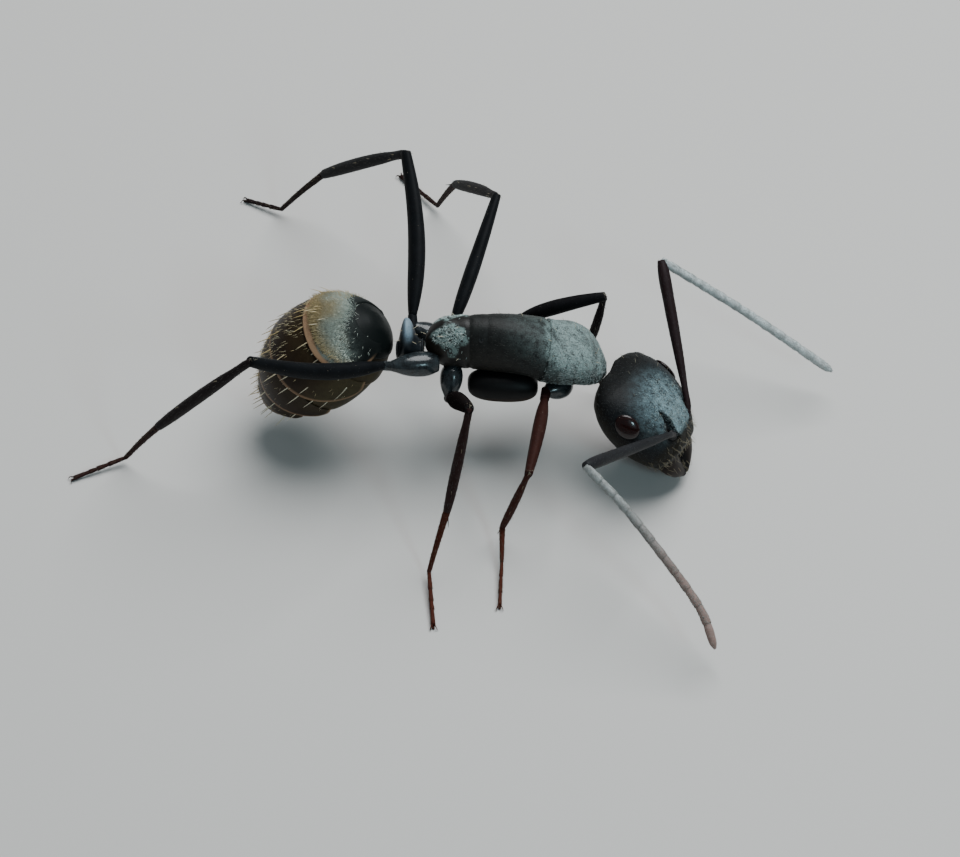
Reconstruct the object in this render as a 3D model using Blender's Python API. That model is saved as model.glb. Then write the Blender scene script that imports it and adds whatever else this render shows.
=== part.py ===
# Carpenter ant, standing with the head turned to its right and bent down.
# Still life-size model: +X runs from the gaster to the head, +Y is the ant's left, +Z is up.
# All named sizes are in millimetres and are multiplied by MM when a mesh is made.
import math
import bpy
import bmesh
import numpy as np
from mathutils import Vector, Matrix

MM = 0.001

# ---- joins ----
SEAM = 0.025            # gap left between two neighbouring plates
LIMB_T = 0.50           # thickness of legs and feelers in the solids
JOINT_T = 0.26          # thickness where a limb narrows to its joint
HIP_T = 0.22            # the same at the hip
JOINT_GAP = 0.02        # gap left between the two pieces of a joint
KNOB_BACK = 0.04        # how far the first piece stops short of the joint
ORIGIN_X = -0.517       # where the middle of the outer box falls in the working frame
ORIGIN_Y = 0.466

# ---- head ----
HEAD_CENTRE = (2.96, -0.625, 1.215)
HEAD_PITCH = 40.0       # degrees bent down
HEAD_YAW = 33.0         # degrees turned to the ant's right
HEAD_ROLL = 14.0        # degrees its right side is lifted
HEAD_BACK = -1.06       # back of the head, measured from its centre
HEAD_FRONT = 0.82       # front edge of the clypeus
HEAD_AT = (-1.06, -1.01, -0.91, -0.72, -0.45, -0.15, 0.15, 0.42, 0.64, 0.77, 0.82)
HEAD_HALF_W = (0.30, 0.52, 0.74, 0.88, 0.955, 0.965, 0.925, 0.83, 0.71, 0.58, 0.44)
HEAD_HALF_T = (0.08, 0.20, 0.33, 0.46, 0.57, 0.60, 0.57, 0.49, 0.38, 0.28, 0.19)
LOBE = 0.07             # how far the back corners reach behind the middle
EYE_AT = -0.27          # along the head
EYE_SIDE = 58.0         # degrees round the head from the top line
EYE_LONG = 0.27         # half length
EYE_WIDE = 0.20         # half width
EYE_BULGE = 0.11
MANDIBLE_L = 0.40
SCAPE_AT = 0.36         # root of the feeler, along the head
SCAPE_OUT = 0.36        # and out from its middle
SCAPE_UP = 0.66
SCAPE_RISE = 0.17       # how far the scape climbs before it leans to its elbow

# ---- mesosoma (three plates on one bent line) ----
BODY_AT = (-0.95, -0.88, -0.714, -0.357, 0.0, 0.357, 0.714, 1.071, 1.339, 1.696, 1.964, 2.12, 2.20)
BODY_Z = (2.50, 2.49, 2.48, 2.48, 2.475, 2.465, 2.43, 2.35, 2.20, 2.12, 2.00, 1.87, 1.80)
BODY_HALF_W = (0.10, 0.19, 0.30, 0.36, 0.385, 0.43, 0.475, 0.545, 0.625, 0.625, 0.52, 0.34, 0.16)
BODY_UP = (0.14, 0.29, 0.475, 0.565, 0.59, 0.585, 0.555, 0.50, 0.50, 0.48, 0.375, 0.245, 0.15)
BODY_DOWN = (0.14, 0.29, 0.46, 0.54, 0.57, 0.58, 0.54, 0.47, 0.34, 0.28, 0.24, 0.18, 0.12)
WAIST_SEAM = -0.18      # between propodeum and mesothorax
COLLAR_SEAM = 1.25      # between mesothorax and pronotum, on the top line
COLLAR_SLANT = 0.30     # how far that seam runs back on the flanks
FLANK_AT = 0.39         # middle of the swelling low on each flank
FLANK_HALF_L = 0.61
FLANK_OUT = 0.33        # sideways place of its centre
FLANK_Z = 1.68
FLANK_R = 0.30
NECK_R = 0.11

# ---- petiole ----
PETIOLE_X = -1.29
PETIOLE_TOP = 3.00
PETIOLE_FOOT = 2.06
PETIOLE_HALF_W = 0.37
PETIOLE_T = 0.26
STALK_Z = 2.27

# ---- gaster ----
GASTER_CENTRE = (-2.84, 0.20, 1.79)
GASTER_L = 3.00
GASTER_DROOP = 46.5     # degrees the axis falls towards the tip
GASTER_YAW = 3.0        # degrees the tip swings to the left
GASTER_AT = (0.0, 0.03, 0.10, 0.20, 0.32, 0.45, 0.60, 0.75, 0.87, 0.95, 1.0)
GASTER_HALF_W = (0.16, 0.37, 0.62, 0.82, 0.94, 0.98, 0.93, 0.76, 0.52, 0.30, 0.10)
GASTER_HALF_H = (0.16, 0.40, 0.67, 0.85, 0.95, 0.97, 0.90, 0.72, 0.49, 0.28, 0.10)
GASTER_SEAMS = (0.29, 0.57, 0.80)
GASTER_CURL = 0.15      # how far the tip bends below the axis

# ---- legs: hip, knee, ankle, heel, toe and the base of the coxa ----
LEGS = {
    "hind_left": dict(base=(-0.74, 0.42, 2.06), hip=(-1.18, 0.50, 2.33), knee=(-1.32, 3.45, 3.61),
                      ankle=(-2.86, 4.96, 1.45), heel=(-3.68, 5.27, 0.30), toe=(-4.40, 5.62, 0.22)),
    "mid_left": dict(base=(-0.42, 0.29, 1.87), hip=(-0.34, 0.74, 1.76), knee=(0.29, 3.23, 2.73),
                     ankle=(-0.45, 4.88, 1.27), heel=(-0.79, 5.36, 0.30), toe=(-1.54, 6.28, 0.22)),
    "fore_left": dict(base=(1.04, 0.60, 1.50), hip=(0.55, 0.95, 1.97), knee=(2.16, 0.92, 2.68),
                      ankle=(2.11, 0.90, 1.10), heel=(2.20, 0.88, 0.32), toe=(2.86, 0.38, 0.22)),
    "hind_right": dict(base=(-0.86, -0.42, 2.24), hip=(-1.55, -0.542, 2.43), knee=(-3.91, -1.74, 4.00),
                       ankle=(-5.63, -1.11, 1.50), heel=(-6.29, -0.70, 0.30), toe=(-7.29, -1.13, 0.22)),
    "mid_right": dict(base=(-0.50, -0.33, 1.94), hip=(-0.54, -0.61, 1.68), knee=(-0.18, -2.48, 3.61),
                      ankle=(-0.57, -2.91, 1.38), heel=(-0.89, -3.29, 0.30), toe=(-0.80, -4.50, 0.22)),
    "fore_right": dict(base=(1.40, -0.28, 1.60), hip=(1.16, -0.50, 1.72), knee=(0.84, -2.50, 1.90),
                       ankle=(0.39, -2.49, 0.40), heel=(0.38, -3.06, 0.23), toe=(0.34, -4.04, 0.22)),
}
COXA_T = {"hind": 0.44, "mid": 0.40, "fore": 0.42}

# ---- feelers ----
FEELER_LEFT = ((3.21, 1.735, 2.68), (4.75, 1.32, 1.74), (6.29, 0.83, 0.73))
FEELER_RIGHT = ((1.89, -2.97, 2.68), (2.45, -3.43, 2.29), (3.04, -4.07, 1.76),
                (3.75, -4.83, 1.12), (4.02, -5.37, 0.66))

# ---- colours ----
BLACK = (0.018, 0.020, 0.022, 1)
GREY = (0.10, 0.115, 0.11, 1)
RUST = (0.10, 0.032, 0.018, 1)
BRASS = (0.12, 0.095, 0.035, 1)
EYE = (0.05, 0.016, 0.012, 1)


# Smooth curve through a short table of sizes.
def curve(at, size, t):
    at, size = np.array(at, float), np.array(size, float)
    slope = np.gradient(size, at)
    k = int(np.clip(np.searchsorted(at, t) - 1, 0, len(at) - 2))
    h = at[k + 1] - at[k]
    u = min(max((t - at[k]) / h, 0.0), 1.0)
    a, b = size[k], size[k + 1]
    return ((2*u**3 - 3*u**2 + 1)*a + (u**3 - 2*u**2 + u)*h*slope[k]
            + (3*u**2 - 2*u**3)*b + (u**3 - u**2)*h*slope[k + 1])


def add_object(name, verts, faces, colour, rough):
    mesh = bpy.data.meshes.new(name)
    shift = Vector((ORIGIN_X, ORIGIN_Y, 0.0))
    mesh.from_pydata([(Vector(v) - shift) * MM for v in verts], [], faces)
    obj = bpy.data.objects.new(name, mesh)
    bpy.context.scene.collection.objects.link(obj)
    bm = bmesh.new()
    bm.from_mesh(mesh)
    bmesh.ops.recalc_face_normals(bm, faces=bm.faces)
    bmesh.ops.triangulate(bm, faces=bm.faces)
    bm.to_mesh(mesh)
    bm.free()
    mat = bpy.data.materials.new(name + "_material")
    mat.use_nodes = True
    shader = mat.node_tree.nodes["Principled BSDF"]
    shader.inputs["Base Color"].default_value = colour
    shader.inputs["Roughness"].default_value = rough
    mesh.materials.append(mat)
    return obj


# Skin a row of equal rings and close both ends with a fan.
def skin(rings, ends):
    n = len(rings[0])
    verts = [tuple(v) for ring in rings for v in ring]
    faces = []
    for i in range(len(rings) - 1):
        for j in range(n):
            k = (j + 1) % n
            faces.append((i*n + j, i*n + k, (i + 1)*n + k, (i + 1)*n + j))
    for row, tip in ((0, ends[0]), (len(rings) - 1, ends[1])):
        verts.append(tuple(tip))
        for j in range(n):
            faces.append((row*n + j, row*n + (j + 1) % n, len(verts) - 1))
    return verts, faces


# Direction triple (along, side, up) of a part that is bent down and turned.
def aim(pitch, yaw, roll=0.0):
    p, y = math.radians(pitch), math.radians(yaw)
    along = Vector((math.cos(p)*math.cos(y), -math.cos(p)*math.sin(y), -math.sin(p)))
    side = Vector((-math.sin(y), -math.cos(y), 0.0))
    up = side.cross(along).normalized()
    if up.z < 0:
        up = -up
    c, s = math.cos(math.radians(roll)), math.sin(math.radians(roll))
    return along, side*c + up*s, up*c - side*s


# One limb piece: a round bar through the points, narrowed at both joints.
def limb(name, points, thick, start_t, end_t, colour, start_gap, end_gap, taper=0.30, sides=8):
    pts = [Vector(p) for p in points]
    pts[0] = pts[0] + (pts[1] - pts[0]).normalized() * start_gap
    pts[-1] = pts[-1] + (pts[-2] - pts[-1]).normalized() * end_gap
    seg = [(pts[i + 1] - pts[i]).length for i in range(len(pts) - 1)]
    total = sum(seg)
    stops = [0.0, min(taper, total*0.35), max(total - taper, total*0.65), total]
    run = 0.0
    for s in seg[:-1]:
        run += s
        stops = [t for t in stops if abs(t - run) > 0.12] + [run]
    stops = sorted(stops)

    def place(t):
        for i, s in enumerate(seg):
            if t <= s + 1e-9 or i == len(seg) - 1:
                return pts[i] + (pts[i + 1] - pts[i]) * min(t / s, 1.0)
            t -= s

    def radius(t):
        return 0.5 * float(np.interp(t, [0, min(taper, total*0.35), max(total - taper, total*0.65), total],
                                     [start_t, thick, thick, end_t]))
    rings = []
    side = None
    for t in stops:
        e = 0.06
        heading = (place(min(t + e, total)) - place(max(t - e, 0.0))).normalized()
        if side is None:
            side = heading.cross(Vector((0, 0, 1)))
            side = side.normalized() if side.length > 1e-3 else Vector((1, 0, 0))
        side = (side - heading*side.dot(heading)).normalized()
        up = side.cross(heading)
        r, c = radius(t), place(t)
        rings.append([c + side*(r*math.cos(2*math.pi*(j + 0.5)/sides))
                      + up*(r*math.sin(2*math.pi*(j + 0.5)/sides)) for j in range(sides)])
    first = pts[0] - (pts[1] - pts[0]).normalized()*start_t*0.32
    last = pts[-1] + (pts[-1] - pts[-2]).normalized()*end_t*0.32
    verts, faces = skin(rings, (first, last))
    verts = [(v[0], v[1], max(v[2], 0.0)) for v in verts]
    return add_object(name, verts, faces, colour, 0.45)


# Room the second bar leaves at a joint, so that it only just misses the knob of the first.
def joint_room(a, joint, b, knob=JOINT_T):
    u = (Vector(a) - Vector(joint)).normalized()
    v = (Vector(b) - Vector(joint)).normalized()
    c = max(u.dot(v), 0.0)
    straight = knob*(0.82 + 0.30*min(u.dot(v), 0.0)) + JOINT_GAP
    return max(straight, (1 + c/2)*(knob/2 + JOINT_GAP + knob/2*c)/math.sqrt(max(1 - c*c, 0.05))*(c > 0))


# Cross section of the mesosoma at one place; round is 0 on the top line and 180 below.
def body_point(x, degrees, slant):
    w, up, down = (curve(BODY_AT, t, x) for t in (BODY_HALF_W, BODY_UP, BODY_DOWN))
    z0 = curve(BODY_AT, BODY_Z, x)
    a = math.radians(degrees)
    side, rise = math.sin(a), math.cos(a)
    y = w * math.copysign(abs(side)**0.92, side)
    z = z0 + (up if rise > 0 else down) * rise
    return Vector((x - slant*(1 - rise)*0.5, y, z))


# The mesothorax swells low on each flank, so its rings are pushed out to two round cheeks.
def flank_point(x, degrees, slant):
    p = body_point(x, degrees, slant)
    if slant > COLLAR_SLANT*0.98:
        return p
    u = (p.x - FLANK_AT) / FLANK_HALF_L
    if abs(u) < 1.0 and p.z < FLANK_Z + 0.55:
        r = math.sqrt(1 - u*u)
        y0 = math.copysign(FLANK_OUT*min(1.0, abs(p.y)/0.10), p.y)
        axis = Vector((p.x, y0*r, FLANK_Z + 0.12*(1 - r)))
        a = math.radians(degrees)
        heading = Vector((0, math.sin(a), math.cos(a)*0.9))
        if math.cos(a) < 0.15:
            q = axis + heading.normalized()*FLANK_R*(0.35 + 0.65*r)
            k = min(1.0, (0.15 - math.cos(a))/0.35)
            p = p.lerp(q, k*min(1.0, r*1.6))
    return p


# Middle of a seam, so that both plates close on the same slanted face.
def seam_middle(x, slant):
    return Vector((x - slant*0.5, 0, curve(BODY_AT, BODY_Z, x)))


def mesosoma_part(name, start, end, slants, point, colour, count, sides=24):
    rings = []
    for i in range(count + 1):
        k = i / count
        x = start + (end - start)*k
        slant = slants[0] + (slants[1] - slants[0])*k
        rings.append([point(x, 360.0*j/sides, slant) for j in range(sides)])
    verts, faces = skin(rings, (seam_middle(start, slants[0]), seam_middle(end, slants[1])))
    return add_object(name, verts, faces, colour, 0.42)


def build_mesosoma():
    mesosoma_part("propodeum", BODY_AT[0], WAIST_SEAM - SEAM/2, (0, 0), body_point, BLACK, 7)
    mesosoma_part("mesothorax", WAIST_SEAM + SEAM/2, COLLAR_SEAM - SEAM/2, (0, COLLAR_SLANT),
                  flank_point, BLACK, 12)
    # pronotum with a short neck reaching for the head
    rings = []
    spots = [COLLAR_SEAM + SEAM/2 + (BODY_AT[-1] - COLLAR_SEAM)*k for k in (0, .15, .32, .5, .68, .82, .92, .98)]
    for i, x in enumerate(spots):
        slant = COLLAR_SLANT * max(0.0, 1 - i/4.0)
        rings.append([body_point(x, 360.0*j/24, slant) for j in range(24)])
    neck = Vector((2.225, -0.02, 1.80))
    for back in (0.04, 0.0):
        rings.append([neck + Vector((-back, NECK_R*math.sin(2*math.pi*j/24), NECK_R*math.cos(2*math.pi*j/24)))
                      for j in range(24)])
    verts, faces = skin(rings, (seam_middle(spots[0], COLLAR_SLANT), neck))
    add_object("pronotum", verts, faces, GREY, 0.38)


# Petiole: an upright scale on a low stalk that reaches both neighbours.
def build_petiole():
    rings = []
    spots = ((-1.47, 0.13, 0.12, 0.12), (-1.435, 0.16, 0.16, 0.15), (-1.39, 0.30, 0.42, 0.19),
             (-1.34, 0.36, 0.66, 0.21), (-1.26, 0.37, 0.73, 0.22), (-1.19, 0.33, 0.62, 0.20),
             (-1.12, 0.24, 0.36, 0.18), (-1.05, 0.17, 0.18, 0.15), (-0.985, 0.13, 0.13, 0.13))
    for x, w, up, down in spots:
        ring = []
        for j in range(16):
            a = 2*math.pi*j/16
            s, c = math.sin(a), math.cos(a)
            stalk = min(w, 0.17)
            y = s*(stalk + (1.35*w - stalk)*c**0.6) if c > 0 else s*stalk
            ring.append(Vector((x, y, STALK_Z + (up if c > 0 else down)*c)))
        rings.append(ring)
    verts, faces = skin(rings, (Vector((-1.48, 0, STALK_Z)), Vector((-0.975, 0, STALK_Z))))
    add_object("petiole", verts, faces, BLACK, 0.35)


def build_gaster():
    back, side, up = aim(GASTER_DROOP, GASTER_YAW)
    back = Vector((-back.x, -back.y, back.z))
    side = Vector((0, 0, 1)).cross(back).normalized()
    up = back.cross(side)
    if up.z < 0:
        up = -up
    centre = Vector(GASTER_CENTRE)
    names = ("gaster_1", "gaster_2", "gaster_3", "gaster_4")
    edges = (0.0,) + GASTER_SEAMS + (1.0,)
    half = SEAM / GASTER_L / 2
    for k, name in enumerate(names):
        a = edges[k] + (half if k else 0)
        b = edges[k + 1] - (half if k < 3 else 0)
        spots = [a + (b - a)*i/6 for i in range(7)] if k < 2 else [a + (b - a)*i/4 for i in range(5)]
        if k == 0:
            spots = [0.0, 0.02, 0.05, 0.10, 0.16, 0.23, b]
        rings = []
        for q in spots:
            w = curve(GASTER_AT, GASTER_HALF_W, q)
            h = curve(GASTER_AT, GASTER_HALF_H, q)
            mid = centre + back*(GASTER_L*(q - 0.5)) - up*(GASTER_CURL*max(0, q - 0.5)**2*4)
            rings.append([mid + side*(w*math.sin(2*math.pi*j/24)) + up*(h*math.cos(2*math.pi*j/24))
                          for j in range(24)])
        ends = [sum(rings[0], Vector())/24, sum(rings[-1], Vector())/24]
        verts, faces = skin(rings, ends)
        add_object(name, verts, faces, BRASS if k else BLACK, 0.36)


# A point on the head; round is 0 on the top line, growing to the ant's right.
def head_point(at, degrees, lift=0.0):
    along, side, up = aim(HEAD_PITCH, HEAD_YAW, HEAD_ROLL)
    w, t = curve(HEAD_AT, HEAD_HALF_W, at), curve(HEAD_AT, HEAD_HALF_T, at)
    a = math.radians(degrees)
    s, c = math.sin(a), math.cos(a)
    y = (w + lift)*math.copysign(abs(s)**0.92, s)
    z = (t + lift)*math.copysign(abs(c)**0.95, c)
    reach = LOBE * max(0.0, -at/abs(HEAD_BACK))**2 * (1 - 2.2*(1 - (y/max(w, 1e-6))**2))
    return Vector(HEAD_CENTRE) + along*(at - reach*0.5) + side*y + up*z


def build_head():
    spots = (-1.06, -1.02, -0.94, -0.80, -0.60, -0.36, -0.10, 0.16, 0.42, 0.60, 0.73, 0.80, 0.82)
    rings = [[head_point(s, 360.0*j/28) for j in range(28)] for s in spots]
    verts, faces = skin(rings, [sum(r, Vector())/28 for r in (rings[0], rings[-1])])
    add_object("head", verts, faces, BLACK, 0.40)
    # eyes: domed lenses seated on the skin of the head
    for name, sign in (("eye_right", 1), ("eye_left", -1)):
        seat = head_point(EYE_AT, sign*EYE_SIDE)
        e = 4.0
        across = (head_point(EYE_AT, sign*(EYE_SIDE + e)) - head_point(EYE_AT, sign*(EYE_SIDE - e))).normalized()
        along = (head_point(EYE_AT + .05, sign*EYE_SIDE) - head_point(EYE_AT - .05, sign*EYE_SIDE)).normalized()
        out = along.cross(across)*sign
        if out.dot(seat - Vector(HEAD_CENTRE)) < 0:
            out = -out
        outer, inner = [], []
        for r, lift in ((1.0, 0.35), (0.92, 0.62), (0.70, 0.86), (0.38, 0.97)):
            outer.append([seat + along*(EYE_LONG*r*math.cos(2*math.pi*j/14)) + across*(EYE_WIDE*r*math.sin(2*math.pi*j/14))
                          + out*(EYE_BULGE*lift + 0.012) for j in range(14)])
        base = [seat + along*(EYE_LONG*0.96*math.cos(2*math.pi*j/14)) + across*(EYE_WIDE*0.96*math.sin(2*math.pi*j/14))
                + out*0.012 for j in range(14)]
        verts, faces = skin([base] + outer, (seat + out*0.012, seat + out*(EYE_BULGE + 0.012)))
        add_object(name, verts, faces, EYE, 0.2)


# Mandibles: two short blades below the clypeus, curving in to meet at the tips.
def build_mandibles():
    along, side, up = aim(HEAD_PITCH, HEAD_YAW, HEAD_ROLL)
    centre = Vector(HEAD_CENTRE)
    for name, sign in (("mandible_right", 1), ("mandible_left", -1)):
        rings = []
        for k in (0.0, 0.15, 0.4, 0.7, 1.0):
            out = 0.40 - 0.26*k**1.5
            mid = centre + along*(HEAD_FRONT + 0.05 + MANDIBLE_L*0.72*k) + side*(sign*out) - up*(0.06 + 0.16*k)
            wide = 0.16*(1 - 0.45*k) if k else 0.12
            deep = 0.17*(1 - 0.45*k) if k else 0.13
            rings.append([mid + side*(wide*math.cos(2*math.pi*j/10)) + up*(deep*math.sin(2*math.pi*j/10))
                          for j in range(10)])
        tip = rings[-1]
        verts, faces = skin(rings, (sum(rings[0], Vector())/10, sum(tip, Vector())/10 + along*0.03))
        add_object(name, verts, faces, RUST, 0.35)


def build_feelers():
    along, side, up = aim(HEAD_PITCH, HEAD_YAW, HEAD_ROLL)
    centre = Vector(HEAD_CENTRE)
    for hand, path, sign in (("left", FEELER_LEFT, -1), ("right", FEELER_RIGHT, 1)):
        root = centre + along*SCAPE_AT + side*(sign*SCAPE_OUT) + up*SCAPE_UP
        elbow = Vector(path[0])
        lift = root + (elbow - root).normalized()*0.45 + up*SCAPE_RISE
        room = joint_room(lift, elbow, path[1])
        limb("scape_" + hand, (root, lift, elbow), LIMB_T, 0.18, JOINT_T, BLACK, 0.0, KNOB_BACK, taper=0.42)
        limb("funiculus_" + hand, path, LIMB_T, JOINT_T, 0.30, GREY, room, 0.02, taper=0.34)


def build_legs():
    for name, leg in LEGS.items():
        pair = name.split("_")[0]
        hip = joint_room(leg["base"], leg["hip"], leg["knee"], HIP_T)
        knee = joint_room(leg["hip"], leg["knee"], leg["ankle"])
        ankle = joint_room(leg["knee"], leg["ankle"], leg["heel"])
        limb("coxa_" + name, (leg["base"], leg["hip"]), COXA_T[pair], 0.30, HIP_T, BLACK, 0.0, KNOB_BACK,
             taper=0.30)
        limb("femur_" + name, (leg["hip"], leg["knee"]), LIMB_T, HIP_T, JOINT_T, BLACK, hip, KNOB_BACK, taper=0.36)
        limb("tibia_" + name, (leg["knee"], leg["ankle"]), LIMB_T, JOINT_T, JOINT_T, RUST, knee, KNOB_BACK,
             taper=0.36)
        limb("tarsus_" + name, (leg["ankle"], leg["heel"], leg["toe"]), LIMB_T, JOINT_T, 0.36, RUST, ankle, 0.0,
             taper=0.25)


for obj in list(bpy.context.scene.objects):
    bpy.data.objects.remove(obj, do_unlink=True)

build_mesosoma()
build_petiole()
build_gaster()
build_head()
build_mandibles()
build_feelers()
build_legs()
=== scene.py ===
# Carpenter ant: finished plates, limbs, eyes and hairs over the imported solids, on a plain studio floor.
import bisect
import math
import bpy
import bmesh
import numpy as np
from mathutils import Matrix, Vector


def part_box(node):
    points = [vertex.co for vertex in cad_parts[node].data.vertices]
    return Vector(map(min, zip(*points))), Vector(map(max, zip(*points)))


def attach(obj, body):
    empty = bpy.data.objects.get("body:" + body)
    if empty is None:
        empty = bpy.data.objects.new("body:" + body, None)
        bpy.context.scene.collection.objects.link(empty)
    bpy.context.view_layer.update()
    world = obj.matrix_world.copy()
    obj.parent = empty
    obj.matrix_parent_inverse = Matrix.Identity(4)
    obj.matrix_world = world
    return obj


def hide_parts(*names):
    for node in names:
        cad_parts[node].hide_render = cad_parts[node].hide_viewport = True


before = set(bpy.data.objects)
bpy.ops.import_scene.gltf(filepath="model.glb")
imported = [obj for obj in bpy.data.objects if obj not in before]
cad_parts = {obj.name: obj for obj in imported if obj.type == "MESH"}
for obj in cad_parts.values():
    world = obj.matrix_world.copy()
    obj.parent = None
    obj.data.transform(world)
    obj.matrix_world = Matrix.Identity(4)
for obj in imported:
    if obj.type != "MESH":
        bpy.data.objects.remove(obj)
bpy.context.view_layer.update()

# ================================================================ middle body
# Three hard black plates grown into one arched box: propodeum, mesothorax and pronotum. The pronotum and the
# slope above the waist are frosted by a fine silver bloom, and on the pronotum's top the bloom is also a
# painted highlight; the mesothorax carries a painted bluish sheen; the rest is nearly bare, with a netted
# relief.
MM, MICRON = 0.001, 1e-6
petiole_low, petiole_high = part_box("petiole")
BODY_LINE = Vector((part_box("propodeum")[0].x + 0.95*MM, (petiole_low.y + petiole_high.y)/2, 0.0))


def at(x, y, z):
    return BODY_LINE + Vector((x, y, z))*MM


def from_line(co):
    return (co - BODY_LINE)/MM


def profile(spots, sizes):
    slopes = [float(s) for s in np.gradient(np.array(sizes, float), np.array(spots, float))]

    def read(x):
        k = min(max(bisect.bisect_left(spots, x) - 1, 0), len(spots) - 2)
        h = spots[k + 1] - spots[k]
        u = min(max((x - spots[k])/h, 0.0), 1.0)
        return ((2*u**3 - 3*u**2 + 1)*sizes[k] + (u**3 - 2*u**2 + u)*h*slopes[k]
                + (3*u**2 - 2*u**3)*sizes[k + 1] + (u**3 - u**2)*h*slopes[k + 1])
    return read


def ease(low, high, x):
    u = min(max((x - low)/(high - low), 0.0), 1.0)
    return u*u*(3 - 2*u)


def bump_at(x, middle, width):
    return math.exp(-((x - middle)/width)**2)


# Adds a ball to a mesh and blows it to shape: t runs from pole to pole and a goes round.
def grow(bm, rings, sides, place):
    t_layer = bm.verts.layers.float.get("t") or bm.verts.layers.float.new("t")
    a_layer = bm.verts.layers.float.get("a") or bm.verts.layers.float.new("a")
    ball = bmesh.ops.create_uvsphere(bm, u_segments=sides, v_segments=rings, radius=1.0)
    for v in ball["verts"]:
        v[t_layer] = math.acos(max(-1.0, min(1.0, v.co.z)))/math.pi
        v[a_layer] = math.atan2(v.co.y, v.co.x)
        v.co = place(v[t_layer], v[a_layer])


def blown(name, rings, sides, place, finish, nodes=(), marks=None, soften=0):
    bm = bmesh.new()
    grow(bm, rings, sides, place)
    for _ in range(soften):
        bmesh.ops.smooth_vert(bm, verts=bm.verts, factor=0.5, use_axis_x=True, use_axis_y=True,
                              use_axis_z=True)
    return finished(name, bm, finish, nodes, marks)


# A mark is how thick a coat of colour lies on each point: one number, or a function of t, a and the place.
def finished(name, bm, finish, nodes=(), marks=None):
    t_layer, a_layer = bm.verts.layers.float.get("t"), bm.verts.layers.float.get("a")
    for mark, value in (marks or {}).items():
        layer = bm.verts.layers.float.new(mark)
        for v in bm.verts:
            v[layer] = value(v[t_layer], v[a_layer], v.co) if callable(value) else value
    bmesh.ops.recalc_face_normals(bm, faces=bm.faces)
    mesh = bpy.data.meshes.new(name)
    bm.to_mesh(mesh)
    bm.free()
    return placed(name, mesh, finish, nodes)


def placed(name, mesh, finish, nodes=()):
    mesh.polygons.foreach_set("use_smooth", [True]*len(mesh.polygons))
    mesh.materials.append(finish)
    piece = bpy.data.objects.new(name, mesh)
    bpy.context.scene.collection.objects.link(piece)
    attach(piece, "root")
    if nodes:
        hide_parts(*nodes)
    return piece


# A socket is given another node's output, which is linked to it, or a constant, which is set on it.
def fill(mat, node, sockets):
    for socket, value in sockets.items():
        if isinstance(value, bpy.types.NodeSocket):
            mat.node_tree.links.new(value, node.inputs[socket])
        else:
            node.inputs[socket].default_value = value


def shade(mat, kind, sockets, output, **settings):
    node = mat.node_tree.nodes.new("ShaderNode" + kind)
    for setting, value in settings.items():
        setattr(node, setting, value)
    fill(mat, node, sockets)
    return node.outputs[output]


# Cuticle: a dark base, coats laid on by the painted marks and broken into specks, and a fine netted relief.
# The first coat also dulls the shine.
def cuticle(name, base, coats, rough, grain=62.0, net=70.0, relief=2.2, level=0.25, ripple=0.0):
    mat = bpy.data.materials.new(name)
    mat.use_nodes = True
    where = shade(mat, "TexCoord", {}, "Object")
    speck = shade(mat, "TexNoise", {"Vector": where, "Scale": grain/MM, "Detail": 2.0}, "Fac")
    blotch = shade(mat, "TexNoise", {"Vector": where, "Scale": 3.0/MM, "Detail": 3.0}, "Fac")
    patchy = shade(mat, "TexNoise", {"Vector": where, "Scale": 9.0/MM, "Detail": 4.0}, "Fac")
    tone = shade(mat, "MapRange", {"Value": blotch, "From Min": 0.3, "From Max": 0.7,
                                   "To Min": 0.7, "To Max": 1.3}, "Result")
    colour = shade(mat, "VectorMath", {0: base, "Scale": tone}, "Vector", operation="SCALE")
    uneven = shade(mat, "Math", {0: patchy, 1: speck}, "Value", operation="ADD")
    shine = rough
    for mark, coat, spread in coats:
        painted = shade(mat, "Attribute", {}, "Fac", attribute_name=mark)
        thin = shade(mat, "MapRange", {"Value": uneven, "From Min": 0.75, "From Max": 1.25,
                                       "To Min": 1.0 - spread, "To Max": 1.0 + spread}, "Result")
        cover = shade(mat, "Math", {0: painted, 1: thin}, "Value", operation="MULTIPLY", use_clamp=True)
        colour = shade(mat, "Mix", {"Factor": cover, "A": colour, "B": (*coat, 1)}, "Result",
                       data_type="RGBA")
        if mark == coats[0][0]:
            shine = shade(mat, "MapRange", {"Value": cover, "To Min": rough,
                                            "To Max": min(rough + 0.25, 0.9)}, "Result")
    cells = shade(mat, "TexVoronoi", {"Vector": where, "Scale": net/MM}, "Distance", feature="SMOOTH_F1")
    height = shade(mat, "Math", {0: cells, 1: speck}, "Value", operation="ADD")
    normal = shade(mat, "Bump", {"Height": height, "Strength": 0.6, "Distance": relief*MICRON}, "Normal")
    if ripple:
        normal = shade(mat, "Bump", {"Height": patchy, "Normal": normal, "Strength": 0.8,
                                     "Distance": ripple*MICRON}, "Normal")
    fill(mat, mat.node_tree.nodes["Principled BSDF"],
         {"Base Color": colour, "Roughness": shine, "Specular IOR Level": level, "Normal": normal})
    return mat


# Its bloom coat is silver frost, and on the pronotum's top and on the mesothorax it is painted sheen.
black_frost_and_sheen = cuticle("black_frost_and_sheen", (0.0062, 0.0062, 0.0064),
                        [("bloom_and_sheen", (0.255, 0.345, 0.335), 0.9), ("brown", (0.020, 0.015, 0.010), 0.5)],
                        rough=0.50, relief=4.5, level=0.17, grain=44, net=42, ripple=9)
crystal_frost = cuticle("crystal_frost", (0.0062, 0.0062, 0.0064),
                        [("bloom_and_sheen", (0.25, 0.35, 0.335), 1.6), ("brown", (0.024, 0.017, 0.012), 0.5)],
                        rough=0.42, grain=38.0)

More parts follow.
